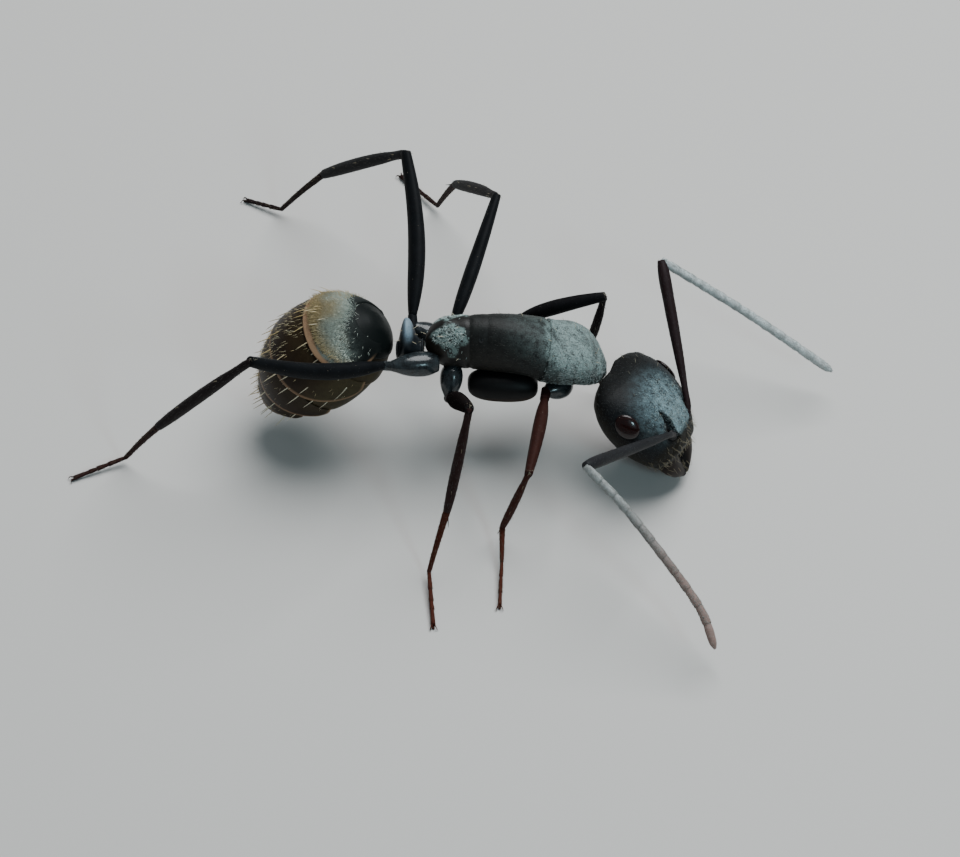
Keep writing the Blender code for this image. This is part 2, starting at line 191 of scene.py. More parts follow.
LINE = (-0.95, -0.88, -0.714, -0.357, 0.0, 0.357, 0.714, 1.071, 1.339, 1.696, 1.964, 2.12, 2.20)
body_z = profile(LINE, (2.50, 2.49, 2.48, 2.48, 2.475, 2.465, 2.43, 2.35, 2.20, 2.12, 2.00, 1.87, 1.80))
body_w = profile(LINE, (.10, .19, .30, .36, .385, .43, .475, .545, .625, .625, .52, .34, .16))
body_up = profile(LINE, (.14, .29, .475, .565, .59, .585, .555, .50, .50, .48, .375, .245, .15))
body_down = profile(LINE, (.14, .29, .46, .54, .57, .58, .54, .47, .34, .28, .24, .18, .12))
WAIST, COLLAR, SLANT = -0.18, 1.25, 0.30      # seams on the top line, and how far the collar runs back
NECK = Vector((2.225, -0.02, 1.80))


# A point round the body line; a is 0 on the top line and grows to the ant's left.
def body_point(x, a, slant=0.0, lift=0.0):
    side, rise = math.sin(a), math.cos(a)
    y = (body_w(x) + lift)*math.copysign(abs(side)**0.92, side)
    z = body_z(x) + ((body_up(x) if rise > 0 else body_down(x)) + lift)*rise
    return Vector((x - slant*(1 - rise)*0.5, y, z))


# The first and last rings of a ball close the ends of a plate; the others run along it.
def run(t, lip=0.05):
    if t < lip:
        return 0.0, math.sin(t/lip*math.pi/2)
    if t > 1 - lip:
        return 1.0, math.sin((1 - t)/lip*math.pi/2)
    return (t - lip)/(1 - 2*lip), 1.0


def close_in(p, x, slant, share):
    middle = Vector((x - slant*0.5, 0.0, body_z(x)))
    return middle.lerp(p, share)


def propodeum_place(t, a):
    k, share = run(t)
    x = LINE[0] + (WAIST + 0.03 - LINE[0])*k
    groove = -0.022*bump_at(x, WAIST + 0.02, 0.05)
    ridge = 0.012*bump_at(x, -0.70, 0.10)*max(math.cos(a), 0.0)
    return at(*close_in(body_point(x, a, 0.0, groove + ridge), x, 0.0, share))


def propodeum_bloom(t, a, co):
    x = from_line(co).x
    wander = 0.16*math.sin(14*x + 5*a) + 0.12*math.sin(23*x - 11*a)
    patch = ease(1.25, 0.75, math.hypot((x + 0.54)/0.30, (abs(a) - 0.66)/0.46) + wander)
    tail = ease(1.3, 0.7, math.hypot((x + 0.47)/0.11, (abs(a) - 1.20)/0.34) + wander)
    return min(patch + 0.75*tail, 1.0) + 0.01


def propodeum_brown(t, a, co):
    x, y, z = from_line(co)
    return 0.25 + 0.75*ease(-0.50, -0.85, x)*ease(2.9, 2.5, z)


propodeum = blown("propodeum_plate", 72, 96, propodeum_place, crystal_frost, ("propodeum",),
                  {"bloom_and_sheen": propodeum_bloom, "brown": propodeum_brown}, soften=1)


def mesothorax_place(t, a):
    k, share = run(t)
    s = WAIST - 0.03 + (COLLAR + 0.07 - WAIST + 0.03)*k
    slant = SLANT*max(0.0, s - WAIST)/(COLLAR - WAIST)
    tuck = 0.035*ease(COLLAR - 0.10, COLLAR + 0.02, s) + 0.018*bump_at(s, WAIST, 0.05)
    tuck += 0.008*bump_at(s, 0.14, 0.045)*ease(-0.2, 0.6, math.cos(a))
    return at(*close_in(body_point(s, a, slant, -tuck), s, slant, share))


# Painted sheen: a faint bluish sheen painted on the top towards the front, brightest along the seam with the
# pronotum.
def mesothorax_sheen(t, a, co):
    x, on_top = from_line(co).x, math.cos(a)
    return (0.02 + 0.15*ease(0.25, 1.10, x)*ease(-0.2, 0.9, on_top)
            + 0.35*bump_at(x, 1.20, 0.07)*ease(0.2, 0.9, on_top))


def mesothorax_brown(t, a, co):
    x, y, z = from_line(co)
    return 0.15 + 0.35*ease(0.9, 0.1, x)*ease(2.9, 2.3, z)


mesothorax = blown("mesothorax_plate", 120, 128, mesothorax_place, black_frost_and_sheen, ("mesothorax",),
                   {"bloom_and_sheen": mesothorax_sheen, "brown": mesothorax_brown}, soften=1)


# ---- flank plates: the smooth swelling low on each side of the mesothorax, over the roots of the middle
# legs. It is bare and nearly black, with a brown lower edge.
flank_black = cuticle("flank_black", (0.0050, 0.0048, 0.0048), [("brown", (0.036, 0.017, 0.008), 0.3)],
                      rough=0.44, level=0.16)


def flank_plate(name, sign):
    def place(t, a):
        round_on, along = math.sin(t*math.pi), math.cos(t*math.pi)
        x = 0.40 - 0.62*math.copysign(abs(along)**0.80, along)
        y = 0.33 + 0.305*abs(round_on)**0.62*math.sin(a)
        z = 1.715 - 0.06*(x - 0.4) + 0.30*abs(round_on)**0.70*math.cos(a)
        return at(x, sign*y, z)
    blown(name, 56, 64, place, flank_black, (),
          {"brown": lambda t, a, co: ease(1.74, 1.50, from_line(co).z)})


flank_plate("flank_plate_left", 1)
flank_plate("flank_plate_right", -1)


# ---- pronotum: the plate behind the head, frosted all over and hard like the others. Its collar laps over
# the mesothorax, and in front it draws in to the neck.
def pronotum_place(t, a):
    k, share = run(t, 0.03)
    x = COLLAR + (LINE[-1] - COLLAR)*k
    slant = SLANT*ease(COLLAR + 0.45, COLLAR, x)
    rim = 0.010*bump_at(x, COLLAR, 0.05) + 0.008*bump_at(x, 2.08, 0.03)
    p = body_point(x, a, slant, rim)
    if x > 2.10:
        neck = NECK + Vector((0.0, 0.11*math.sin(a), 0.11*math.cos(a)))
        p = p.lerp(neck, ease(2.10, LINE[-1], x))
    middle = Vector((x - slant*0.5, 0.0, body_z(x))) if k < 0.5 else NECK
    return at(*middle.lerp(p, share))


# Silver bloom and painted highlight: the bloom is thickest on the top middle, where the light falls, and thin
# low on the sides; a thin pale line runs along the front rim, with a darker band behind it.
def pronotum_bloom_and_highlight(t, a, co):
    x, y, z = from_line(co)
    middle = ease(1.15, 0.25, math.hypot((x - 1.70)/0.62, (abs(a) - 0.42)/1.25))
    blotch = 1 - 0.35*math.sin(7*x + 3*z)*math.sin(5*a + 4*x)
    return (0.10 + 0.85*middle)*blotch*(1 - 0.5*bump_at(x, 2.0, 0.05)) + 0.6*bump_at(x, 2.10, 0.025)


pronotum = blown("pronotum_plate", 90, 112, pronotum_place, black_frost_and_sheen, ("pronotum",),
                 {"bloom_and_sheen": pronotum_bloom_and_highlight, "brown": 0.15}, soften=1)


# ---- breathing holes: an oval rim of bare black cuticle on each side of the propodeum and of the mesothorax.
# Each is a ring spun round its own axis and pressed a little into the plate.
def rim_ring(radius, thick, steps, corners):
    bm = bmesh.new()
    bmesh.ops.create_circle(bm, cap_ends=False, radius=thick, segments=corners)
    bmesh.ops.rotate(bm, verts=bm.verts, matrix=Matrix.Rotation(math.pi/2, 3, "X"))
    bmesh.ops.translate(bm, verts=bm.verts, vec=(radius, 0, 0))
    bmesh.ops.spin(bm, geom=bm.verts[:] + bm.edges[:], cent=(0, 0, 0), axis=(0, 0, 1), angle=2*math.pi,
                   steps=steps, use_merge=True)
    return bm


def breathing_hole(name, x, a, stretch):
    bm = rim_ring(0.030, 0.010, 24, 10)
    spot = body_point(x, a, 0.0, -0.004)
    out = (body_point(x, a, 0.0, 0.05) - body_point(x, a)).normalized()
    along = (Vector((1, 0, 0)) - out*out.x).normalized()
    across = out.cross(along)
    for v in bm.verts:
        c = v.co.copy()
        v.co = at(*(spot + across*(c.x*stretch) + along*c.y + out*c.z))
    finished(name, bm, black_bare)


black_bare = cuticle("black_bare", (0.007, 0.007, 0.008), [], rough=0.30, level=0.5)
for hand, sign in (("left", 1), ("right", -1)):
    breathing_hole("breathing_hole_rear_" + hand, -0.52, sign*math.radians(74), 1.9)
    breathing_hole("breathing_hole_mid_" + hand, 0.02, sign*math.radians(48), 1.4)

# ================================================================ waist
# The petiole is one upright scale of hard cuticle on a low stalk, hinged to the plates before and behind it.
# Its rounded back is thick with silver bloom, which high up is also a painted highlight; lower down it is
# left dark.
STALK_Z = 2.27
SCALE_AT = (-1.48, -1.47, -1.435, -1.39, -1.34, -1.26, -1.19, -1.12, -1.05, -0.985, -0.975)
scale_w = profile(SCALE_AT, (.04, .13, .16, .32, .40, .41, .36, .24, .17, .13, .04))
scale_up = profile(SCALE_AT, (.04, .12, .16, .42, .66, .73, .62, .36, .18, .13, .04))
scale_down = profile(SCALE_AT, (.04, .12, .15, .19, .21, .22, .20, .18, .15, .13, .04))


def petiole_place(t, a):
    k, share = run(t, 0.04)
    x = SCALE_AT[0] + (SCALE_AT[-1] - SCALE_AT[0])*k
    side, rise = math.sin(a), math.cos(a)
    w, stalk = scale_w(x), min(scale_w(x), 0.17)
    y = side*(stalk + (w - stalk)*max(rise, 0.0)**0.6)
    z = STALK_Z + (scale_up(x) if rise > 0 else scale_down(x))*rise
    return at(*Vector((x, 0.0, STALK_Z)).lerp(Vector((x, y, z)), share))


# Silver bloom and painted highlight: pale only high on the back of the scale, dark below.
def petiole_bloom_and_highlight(t, a, co):
    x, y, z = from_line(co)
    return 0.95*ease(2.68, 2.98, z)*ease(-1.10, -1.22, x) + 0.05


petiole_frost_and_highlight = cuticle("petiole_frost_and_highlight", (0.0065, 0.0065, 0.0075), [("bloom_and_sheen", (0.20, 0.28, 0.34), 0.4)],
                        rough=0.36, level=0.35)
petiole = blown("petiole_scale", 64, 64, petiole_place, petiole_frost_and_highlight, ("petiole",),
                {"bloom_and_sheen": petiole_bloom_and_highlight}, soften=2)

# ================================================================ gaster
# The gaster is a soft bag under overlapping hard plates: five lapped back plates with thin, pale, see-through
# hind rims, and belly plates below. Golden down covers it, and stout pale bristles stand along each rim.
GASTER_MIDDLE = Vector((-2.84, 0.20, 1.79))
GASTER_L, GASTER_DROOP, GASTER_YAW, GASTER_CURL = 3.00, math.radians(46.5), math.radians(3.0), 0.15
GASTER_AT = (0.0, 0.03, 0.10, 0.20, 0.32, 0.45, 0.60, 0.75, 0.87, 0.95, 1.0)
gaster_w = profile(GASTER_AT, (.16, .37, .62, .82, .94, .98, .93, .76, .52, .30, .10))
gaster_h = profile(GASTER_AT, (.16, .40, .67, .85, .95, .97, .90, .72, .49, .28, .10))
gaster_back = Vector((-math.cos(GASTER_DROOP)*math.cos(GASTER_YAW),
                      math.cos(GASTER_DROOP)*math.sin(GASTER_YAW), -math.sin(GASTER_DROOP)))
gaster_side = Vector((0, 0, 1)).cross(gaster_back).normalized()
gaster_up = gaster_back.cross(gaster_side)


# q runs from the waist to the tip; a is 0 on the back and grows to the ant's right.
def gaster_point(q, a, lift=0.0):
    middle = GASTER_MIDDLE + gaster_back*(GASTER_L*(q - 0.5)) - gaster_up*(GASTER_CURL*max(0.0, q - 0.5)**2*4)
    return (middle + gaster_side*((gaster_w(q) + lift)*math.sin(a))
            + gaster_up*((gaster_h(q) + lift)*math.cos(a)))


def gaster_core(q):
    return gaster_point(q, 0.0).lerp(gaster_point(q, math.pi), 0.5)


RIMS = (0.0, 0.285, 0.585, 0.80, 0.925, 0.985)     # hind edges of the back plates
PLATE_EDGE = math.radians(122)                     # how far a back plate reaches down each side
PLATE_T = 0.022


# A back plate's hind rim sweeps forward low on the sides, where it meets the belly.
def plate_rim(k, a):
    low = min(max((abs(math.degrees(a)) - 35)/67, 0.0), 1.3)
    return RIMS[k] - 0.55*(RIMS[k] - RIMS[k - 1])*low**2.3


# Its bloom coat is the silver band of the first plate, which is partly a painted highlight.
golden_plate = cuticle("golden_plate", (0.0175, 0.0088, 0.0040),
                       [("olive", (0.058, 0.047, 0.023), 0.4), ("black", (0.0048, 0.0068, 0.0066), 0.0),
                        ("bloom_and_sheen", (0.27, 0.33, 0.30), 0.8), ("rim", (0.33, 0.205, 0.120), 0.15)],
                       rough=0.42, grain=50.0, relief=3.0, level=0.13)


def back_plate(k):
    bm = bmesh.new()
    bmesh.ops.create_grid(bm, x_segments=110, y_segments=48, size=1.0)
    mark = {name: bm.verts.layers.float.new(name) for name in ("t", "a", "rim", "olive", "black", "bloom_and_sheen")}
    first = k == 1
    for v in bm.verts:
        back, a = (v.co.y + 1)/2, v.co.x*PLATE_EDGE
        down = abs(math.degrees(a))                # degrees down from the back line
        start = 0.034 if first else RIMS[k - 1] - 0.045
        end = max(plate_rim(k, a), start + 0.03)
        q = start + (end - start)*back
        tuck = 0.0 if first else -0.034*(1 - ease(0.0, 0.55, back))
        lift = tuck + 0.016*ease(0.3, 1.0, back) - 0.02*ease(0.94, 1.0, abs(v.co.x))
        v[mark["t"]], v[mark["a"]] = q, a
        from_rim = min((end - q)*GASTER_L, PLATE_EDGE*(1 - abs(v.co.x))*gaster_w(q))
        wide = 0.125 - 0.055*ease(20, 75, down) if first else 0.055
        rim = ease(wide + 0.02, wide - 0.02, from_rim)
        v[mark["rim"]] = rim*(0.95*ease(0.06, 0.14, q) if first else 0.55)
        v[mark["olive"]] = 1.0 if first else max(0.30*ease(0.9, 0.1, back), 0.8*ease(58, 95, down)*(k == 2))
        dark_face = ease(0.10, 0.045, q - 0.035*math.sin(abs(a))) + ease(52, 84, down)*ease(0.24, 0.13, q)
        v[mark["black"]] = min(dark_face, 1.0)*first
        # The band on the first plate is silver down and a painted highlight where the plate faces up to the
        # light.
        band = bump_at(q, 0.085 + 0.105*ease(0, 62, down), 0.040 + 0.030*ease(15, 55, down))
        v[mark["bloom_and_sheen"]] = 0.95*band*ease(96, 60, down)*first
        v.co = at(*gaster_point(q, a, lift))
    bmesh.ops.recalc_face_normals(bm, faces=bm.faces)
    outward = sum((f.normal.dot(f.calc_center_median() - at(*GASTER_MIDDLE)) > 0) for f in bm.faces)
    if outward < len(bm.faces)/2:
        bmesh.ops.reverse_faces(bm, faces=bm.faces)
    bmesh.ops.solidify(bm, geom=bm.faces[:], thickness=-PLATE_T*MM)
    return finished("gaster_plate_%d" % k, bm, golden_plate, ("gaster_%d" % k,) if k < 5 else ())


gaster_plates = [back_plate(k) for k in range(1, 6)]


def belly_plate(k):
    start, end = max(RIMS[k - 1] - 0.03, 0.010), RIMS[k] - 0.012 if k < 5 else 0.992

    def place(t, a):
        along, share = run(t, 0.06)
        q = start + (end - start)*along
        lift = -0.075 + 0.04*ease(0.0, 1.0, along) - 0.02*bump_at(q, end, 0.01)
        return at(*gaster_core(q).lerp(gaster_point(q, a, lift), share))

    blown("gaster_belly_%d" % k, 30, 96, place, golden_plate, (),
          {"rim": lambda t, a, co: 0.6*ease(0.86, 0.95, t), "olive": 0.6, "bloom_and_sheen": 0.0,
           "black": (lambda t, a, co: ease(0.55, 0.2, t)) if k == 1 else 0.0})


for k in range(1, 6):
    belly_plate(k)


# ---- front of the gaster: the steep black face that the waist joins. It closes the bag in front of the first
# back plate and dips in at its middle.
def front_place(t, a):
    k, share = run(t, 0.30)
    p = gaster_core(0.0).lerp(gaster_point(0.090*k, a, 0.026 - 0.020*k), share)
    return at(*(p - gaster_back*(0.030*(1 - share*share)*(t < 0.5))))


blown("gaster_front", 40, 96, front_place, golden_plate, (),
      {"black": 1.0, "olive": 0.0, "bloom_and_sheen": 0.0, "rim": 0.0})


# ---- acidopore: the short round nozzle of bare black cuticle at the tip, from which such an ant sprays its
# acid. It sits in the last belly plate.
def nozzle_place(t, a):
    q, share = run(t, 0.10)
    r = (0.085 - 0.035*q)*share
    middle = gaster_core(0.97) + gaster_back*(0.13*q)
    return at(*(middle + gaster_side*(r*math.sin(a)) + gaster_up*(r*math.cos(a))))


blown("acidopore", 20, 32, nozzle_place, black_bare)

# ================================================================ head
# One hard capsule, bent down and turned to the ant's right. Two raised ridges run forward between the
# feelers, each feeler sits in a pit beside its ridge, and a shield, the clypeus, roofs the mouth.
HEAD_MIDDLE = Vector((2.96, -0.625, 1.215))
HEAD_PITCH, HEAD_YAW, HEAD_ROLL = math.radians(40), math.radians(33), math.radians(14)
HEAD_AT = (-1.06, -1.01, -0.91, -0.72, -0.45, -0.15, 0.15, 0.42, 0.64, 0.77, 0.82)
head_w = profile(HEAD_AT, (.30, .52, .74, .88, .955, .965, .925, .83, .71, .58, .44))
head_t = profile(HEAD_AT, (.08, .20, .33, .46, .57, .60, .57, .49, .38, .28, .19))
HEAD_LOBE = 0.07
FEELER_AT, FEELER_OUT = 0.42, 0.34
EYE_AT, EYE_ROUND = -0.30, math.radians(67)
EYE_LONG, EYE_WIDE, EYE_BULGE = 0.240, 0.190, 0.065
head_along = Vector((math.cos(HEAD_PITCH)*math.cos(HEAD_YAW), -math.cos(HEAD_PITCH)*math.sin(HEAD_YAW),
                     -math.sin(HEAD_PITCH)))
level_side = Vector((-math.sin(HEAD_YAW), -math.cos(HEAD_YAW), 0.0))
level_up = level_side.cross(head_along).normalized()
level_up = -level_up if level_up.z < 0 else level_up
head_side = level_side*math.cos(HEAD_ROLL) + level_up*math.sin(HEAD_ROLL)
head_up = level_up*math.cos(HEAD_ROLL) - level_side*math.sin(HEAD_ROLL)


# Raised and sunk forms of the face: s is the distance out from the middle line.
def ridge_line(x):
    return 0.325 - 0.045*ease(-0.05, 0.2, x) - 0.10*ease(0.38, 0.60, x)


def pit_depth(x, out):
    middle = ridge_line(x) + 0.018 + 0.085*ease(-0.02, 0.4, x)
    pit = bump_at(out, middle, 0.020 + 0.075*ease(-0.05, 0.34, x))*(out > ridge_line(x) - 0.01)
    return pit*ease(-0.18, 0.0, x)*ease(0.58, 0.44, x)


def face_relief(x, s, top):
    out, ridge = abs(s), ridge_line(x)
    lift = 0.050*bump_at(out, ridge, 0.024)*ease(-0.20, -0.02, x)*ease(0.60, 0.46, x)
    lift += 0.035*ease(ridge + 0.02, ridge - 0.05, out)*ease(-0.15, 0.15, x)*ease(0.62, 0.48, x)
    lift -= 0.085*pit_depth(x, out)
    lift -= 0.008*bump_at(s, 0.0, 0.012)*ease(-0.35, -0.2, x)*ease(0.48, 0.40, x)
    seam = 0.50 + 0.9*max(out - 0.16, 0.0)**1.5
    if out < 0.52:
        lift -= 0.020*bump_at(x, seam, 0.016)*ease(0.52, 0.40, out)
        lift += 0.030*ease(seam, seam + 0.08, x)*ease(0.46, 0.30, out)
        lift += 0.012*bump_at(s, 0.0, 0.02)*ease(seam, seam + 0.06, x)
    return lift*top


def head_point(x, a, lift=0.0):
    w, t = head_w(x), head_t(x)
    sa, ca = math.sin(a), math.cos(a)
    y = (w + lift)*math.copysign(abs(sa)**0.92, sa)
    z = (t + lift)*math.copysign(abs(ca)**0.95, ca)
    reach = HEAD_LOBE*max(0.0, x/HEAD_AT[0])**2*(1 - 2.2*(1 - (y/max(w, 1e-6))**2))
    return HEAD_MIDDLE + head_along*(x - reach*0.5) + head_side*y + head_up*z


def head_place(t, a):
    k, share = run(t, 0.03)
    k = k - 0.10*math.sin(2*math.pi*k)/math.pi
    x = HEAD_AT[0] + (HEAD_AT[-1] - HEAD_AT[0])*k
    a = a - 0.35*math.sin(a)
    s = head_w(x)*math.copysign(abs(math.sin(a))**0.92, math.sin(a))
    lift = face_relief(x, s, ease(0.0, 0.5, math.cos(a)))
    eye_gap = math.hypot((x - EYE_AT)/EYE_LONG, (abs(a) - EYE_ROUND)*0.80/EYE_WIDE)
    lift -= 0.012*bump_at(eye_gap, 1.10, 0.10)
    middle = HEAD_MIDDLE + head_along*x
    return at(*middle.lerp(head_point(x, a, lift), share))


# Places on the head: x along it, s out to its right and u up from its middle plane.
def on_head(co):
    p = from_line(co) - HEAD_MIDDLE
    return p.dot(head_along), p.dot(head_side), p.dot(head_up)


# Silver bloom and painted highlight: thickest on the crown and on the raised plate between the ridges, only
# on the upper side of the head, and left out of the feeler pits, which stay dark as painted shade.
def head_bloom_and_highlight(t, a, co):
    x, s, u = on_head(co)
    crown = ease(1.0, 0.0, math.hypot((x + 0.10)/0.84, (s - 0.09)/0.92))
    plate = ease(ridge_line(x) + 0.01, ridge_line(x) - 0.03, abs(s))*ease(0.0, 0.15, x)*ease(0.60, 0.48, x)
    return (0.01 + 0.66*crown + 0.50*plate)*ease(0.0, 0.30, u)*(1 - pit_depth(x, abs(s)))


def head_olive(t, a, co):
    x, s, u = on_head(co)
    return max(ease(0.44, 0.56, x), ease(0.15, -0.15, u), 0.25*ease(-0.55, -0.90, x))*0.9


# Painted shade: the feeler pits are coloured dark red-brown.
def head_pit_shade(t, a, co):
    x, s, u = on_head(co)
    return 0.9*pit_depth(x, abs(s))*ease(0.1, 0.3, u)


head_shell = cuticle("head_shell", (0.0056, 0.0060, 0.0070),
                     [("bloom_and_sheen", (0.190, 0.285, 0.315), 0.85), ("olive", (0.0105, 0.0085, 0.0046), 0.3),
                      ("pit", (0.0085, 0.0025, 0.0020), 0.0)],
                     rough=0.50, relief=4.0, level=0.12, grain=48, net=46, ripple=10)
head_piece = blown("head_capsule", 170, 220, head_place, head_shell, ("head",),
                   {"bloom_and_sheen": head_bloom_and_highlight, "olive": head_olive, "pit": head_pit_shade}, soften=1)


# ---- feeler sockets: a thin raised ring of bare cuticle round each feeler's root. It leans forward with the
# pit that it sits in.
def feeler_root(sign, up=0.0):
    a = math.asin(min(FEELER_OUT/head_w(FEELER_AT), 1.0)**(1/0.92))
    return head_point(FEELER_AT, sign*a, up)


def feeler_socket(name, sign):
    bm = rim_ring(0.078, 0.020, 32, 12)
    spot, out = feeler_root(sign, -0.03), (feeler_root(sign, 0.05) - feeler_root(sign)).normalized()
    turn = Vector((0, 0, 1)).rotation_difference((out + head_along*0.35).normalized()).to_matrix()
    for v in bm.verts:
        v.co = at(*(spot + turn @ v.co))
    finished(name, bm, black_bare)


feeler_socket("feeler_socket_right", 1)
feeler_socket("feeler_socket_left", -1)

# ---- eyes: domes of about five hundred lenses each, dark red-brown under a clear glossy skin. They sit in a
# shallow groove of the head.
eye_lens = bpy.data.materials.new("eye_lens")
eye_lens.use_nodes = True
eye_where = shade(eye_lens, "TexCoord", {}, "Object")
lens_gap = shade(eye_lens, "TexVoronoi", {"Vector": eye_where, "Scale": 42/MM, "Randomness": 0.25},
                 "Distance")
lens_edge = shade(eye_lens, "MapRange", {"Value": lens_gap, "From Max": 0.6}, "Result")
lens_colour = shade(eye_lens, "Mix", {"Factor": lens_edge, "A": (0.030, 0.006, 0.004, 1),
                                      "B": (0.006, 0.002, 0.002, 1)}, "Result", data_type="RGBA")
lens_normal = shade(eye_lens, "Bump", {"Height": lens_gap, "Strength": 0.5, "Distance": 4*MICRON}, "Normal",
                    invert=True)
fill(eye_lens, eye_lens.node_tree.nodes["Principled BSDF"],
     {"Base Color": lens_colour, "Roughness": 0.24, "Specular IOR Level": 0.18, "Coat Weight": 0.5,
      "Coat Roughness": 0.09, "Normal": lens_normal})


def eye_dome(name, sign, node):
    def near(x, turn):
        return head_point(EYE_AT + x, sign*(EYE_ROUND + math.radians(turn)))
    seat = near(0, 0)
    across, along = (near(0, 4) - near(0, -4)).normalized(), (near(0.05, 0) - near(-0.05, 0)).normalized()
    out = along.cross(across)
    out = out if out.dot(seat - HEAD_MIDDLE) > 0 else -out

    def place(t, a):
        r, h = math.sin(t*math.pi), math.cos(t*math.pi)
        depth = EYE_BULGE*h if h > 0 else 0.05*h
        return at(*(seat + along*(EYE_LONG*r*math.cos(a)) + across*(EYE_WIDE*r*math.sin(a))
                    + out*(depth - 0.004)))

    blown(name, 60, 64, place, eye_lens, (node,))


eye_dome("eye_dome_right", 1, "eye_right")
eye_dome("eye_dome_left", -1, "eye_left")

# ================================================================ mandibles and palps
# Two hard triangular jaws close below the clypeus, red-brown with six black teeth along their meeting edges.
# Thin jointed palps hang behind them.
jaw_rust = cuticle("jaw_rust", (0.0105, 0.0052, 0.0030), [("black", (0.005, 0.004, 0.004), 0.0)],
                   rough=0.42, relief=2.0, level=0.15)


def face_spot(x, s, u):
    return HEAD_MIDDLE + head_along*x + head_side*s + head_up*u


# A jaw is a flat bent blade: its outer edge bows in to the tip and its inner edge runs down the middle line.
JAW_LINE = (0.0, 0.2, 0.4, 0.6, 0.8, 1.0)
jaw_outer = profile(JAW_LINE, (0.555, 0.60, 0.585, 0.50, 0.345, 0.10))
jaw_inner = profile(JAW_LINE, (0.40, 0.20, 0.055, 0.040, 0.030, 0.020))
jaw_thick = profile(JAW_LINE, (0.12, 0.14, 0.125, 0.100, 0.075, 0.030))
JAW_ROOT, JAW_LONG = 0.58, 0.69


def jaw_drop(k):
    return -0.04 - 0.16*k*k


def mandible(name, sign, node):
    bm = bmesh.new()

    def place(t, a):
        k, share = run(t, 0.05)
        middle, half = (jaw_outer(k) + jaw_inner(k))/2, (jaw_outer(k) - jaw_inner(k))/2
        swell = jaw_thick(k)*share*math.sin(a) + 0.05*math.sin(a)*(1 - (math.cos(a))**2)*(1 - k)
        return at(*face_spot(JAW_ROOT + JAW_LONG*k, sign*(middle - half*share*math.cos(a)),
                             jaw_drop(k) + swell))

    grow(bm, 44, 32, place)
    for i in range(6):
        spot, size = 0.875 + 0.066*i, 0.030 + 0.004*i

        def tooth(t, a, spot=spot, size=size):
            k, share = run(t, 0.10)
            r = size*(1 - 0.9*k)*share
            return at(*face_spot(spot + 0.025*k + r*math.cos(a), sign*(0.055 - 0.070*k),
                                 jaw_drop((spot - JAW_ROOT)/JAW_LONG) + 0.8*r*math.sin(a)))
        grow(bm, 10, 10, tooth)

    def dark(t, a, co):
        x, s, u = on_head(co)
        return ease(0.20, 0.06, abs(s))*ease(0.75, 0.9, x)
    return finished(name, bm, jaw_rust, (node,), {"black": dark})


jaw_right = mandible("mandible_blade_right", 1, "mandible_right")
jaw_left = mandible("mandible_blade_left", -1, "mandible_left")


# A straight round bar; flat thins it along the given direction across it.
def bar(bm, a, b, radius, rings=14, sides=10, lip=0.08, flat=1.0, bow=Vector((0, 0, 0)), across=None):
    heading = (b - a).normalized()
    side = across if across else heading.cross(Vector((0, 0, 1)))
    side = side - heading*side.dot(heading)
    side = side.normalized() if side.length > 1e-3 else Vector((1, 0, 0))
    up = side.cross(heading)

    def place(t, angle):
        k, share = run(t, lip)
        r = radius(k)*share
        return at(*(a.lerp(b, k) + bow*math.sin(math.pi*k) + side*(r*math.cos(angle)*flat)
                    + up*(r*math.sin(angle))))
    grow(bm, rings, sides, place)


for hand, sign in (("right", 1), ("left", -1)):
    palps = bmesh.new()
    for out, length in ((0.16, 1.0), (0.07, 0.62)):
        joint = face_spot(0.74, sign*out, -0.22)
        for i in range(5 if length == 1.0 else 3):
            step = (head_along*(0.05 - 0.05*i) - head_up*0.085 + head_side*(sign*0.018))*length
            bar(palps, joint, joint + step, lambda k: 0.018 + 0.005*math.sin(math.pi*k), 8, 8)
            joint = joint + step
    finished("palps_" + hand, palps, jaw_rust, marks={"black": 0.3})

# ================================================================ feelers
# Each feeler is a long first joint, the scape, then an elbow and eleven short joints under a silvery down.
# The scape is black and bare; the short joints pale to a pinkish tip.
FEELERS = {"left": ((3.21, 1.735, 2.68), (4.75, 1.32, 1.74), (6.29, 0.83, 0.73)),
           "right": ((1.80, -2.98, 2.68), (2.38, -3.44, 2.29), (3.04, -4.07, 1.76), (3.75, -4.83, 1.12),
                     (4.02, -5.37, 0.66))}
SCAPE_RISE = {"left": 0.05, "right": 0.17}         # how far a scape climbs before it leans to its elbow
SCAPE_TINT = {"left": (0.38, 0.05), "right": (0.12, 0.24)}     # red-brown, then bloom
SCAPE_SIZE, JOINT_SIZE = 1.24, 1.10
scape_r = profile((0.0, 0.05, 0.10, 0.35, 0.75, 0.94, 1.0), (.050, .052, .046, .066, .084, .080, .060))
scape_black = cuticle("scape_black", (0.0075, 0.007, 0.009),
                      [("rust", (0.026, 0.006, 0.005), 0.2), ("bloom_and_sheen", (0.036, 0.046, 0.048), 0.5)],
                      rough=0.42, relief=1.6, level=0.12)
feeler_down = cuticle("feeler_down", (0.085, 0.064, 0.056),
                      [("pink", (0.210, 0.105, 0.078), 0.3), ("bloom_and_sheen", (0.56, 0.62, 0.62), 0.4)],
                      rough=0.55, relief=2.0, level=0.25)


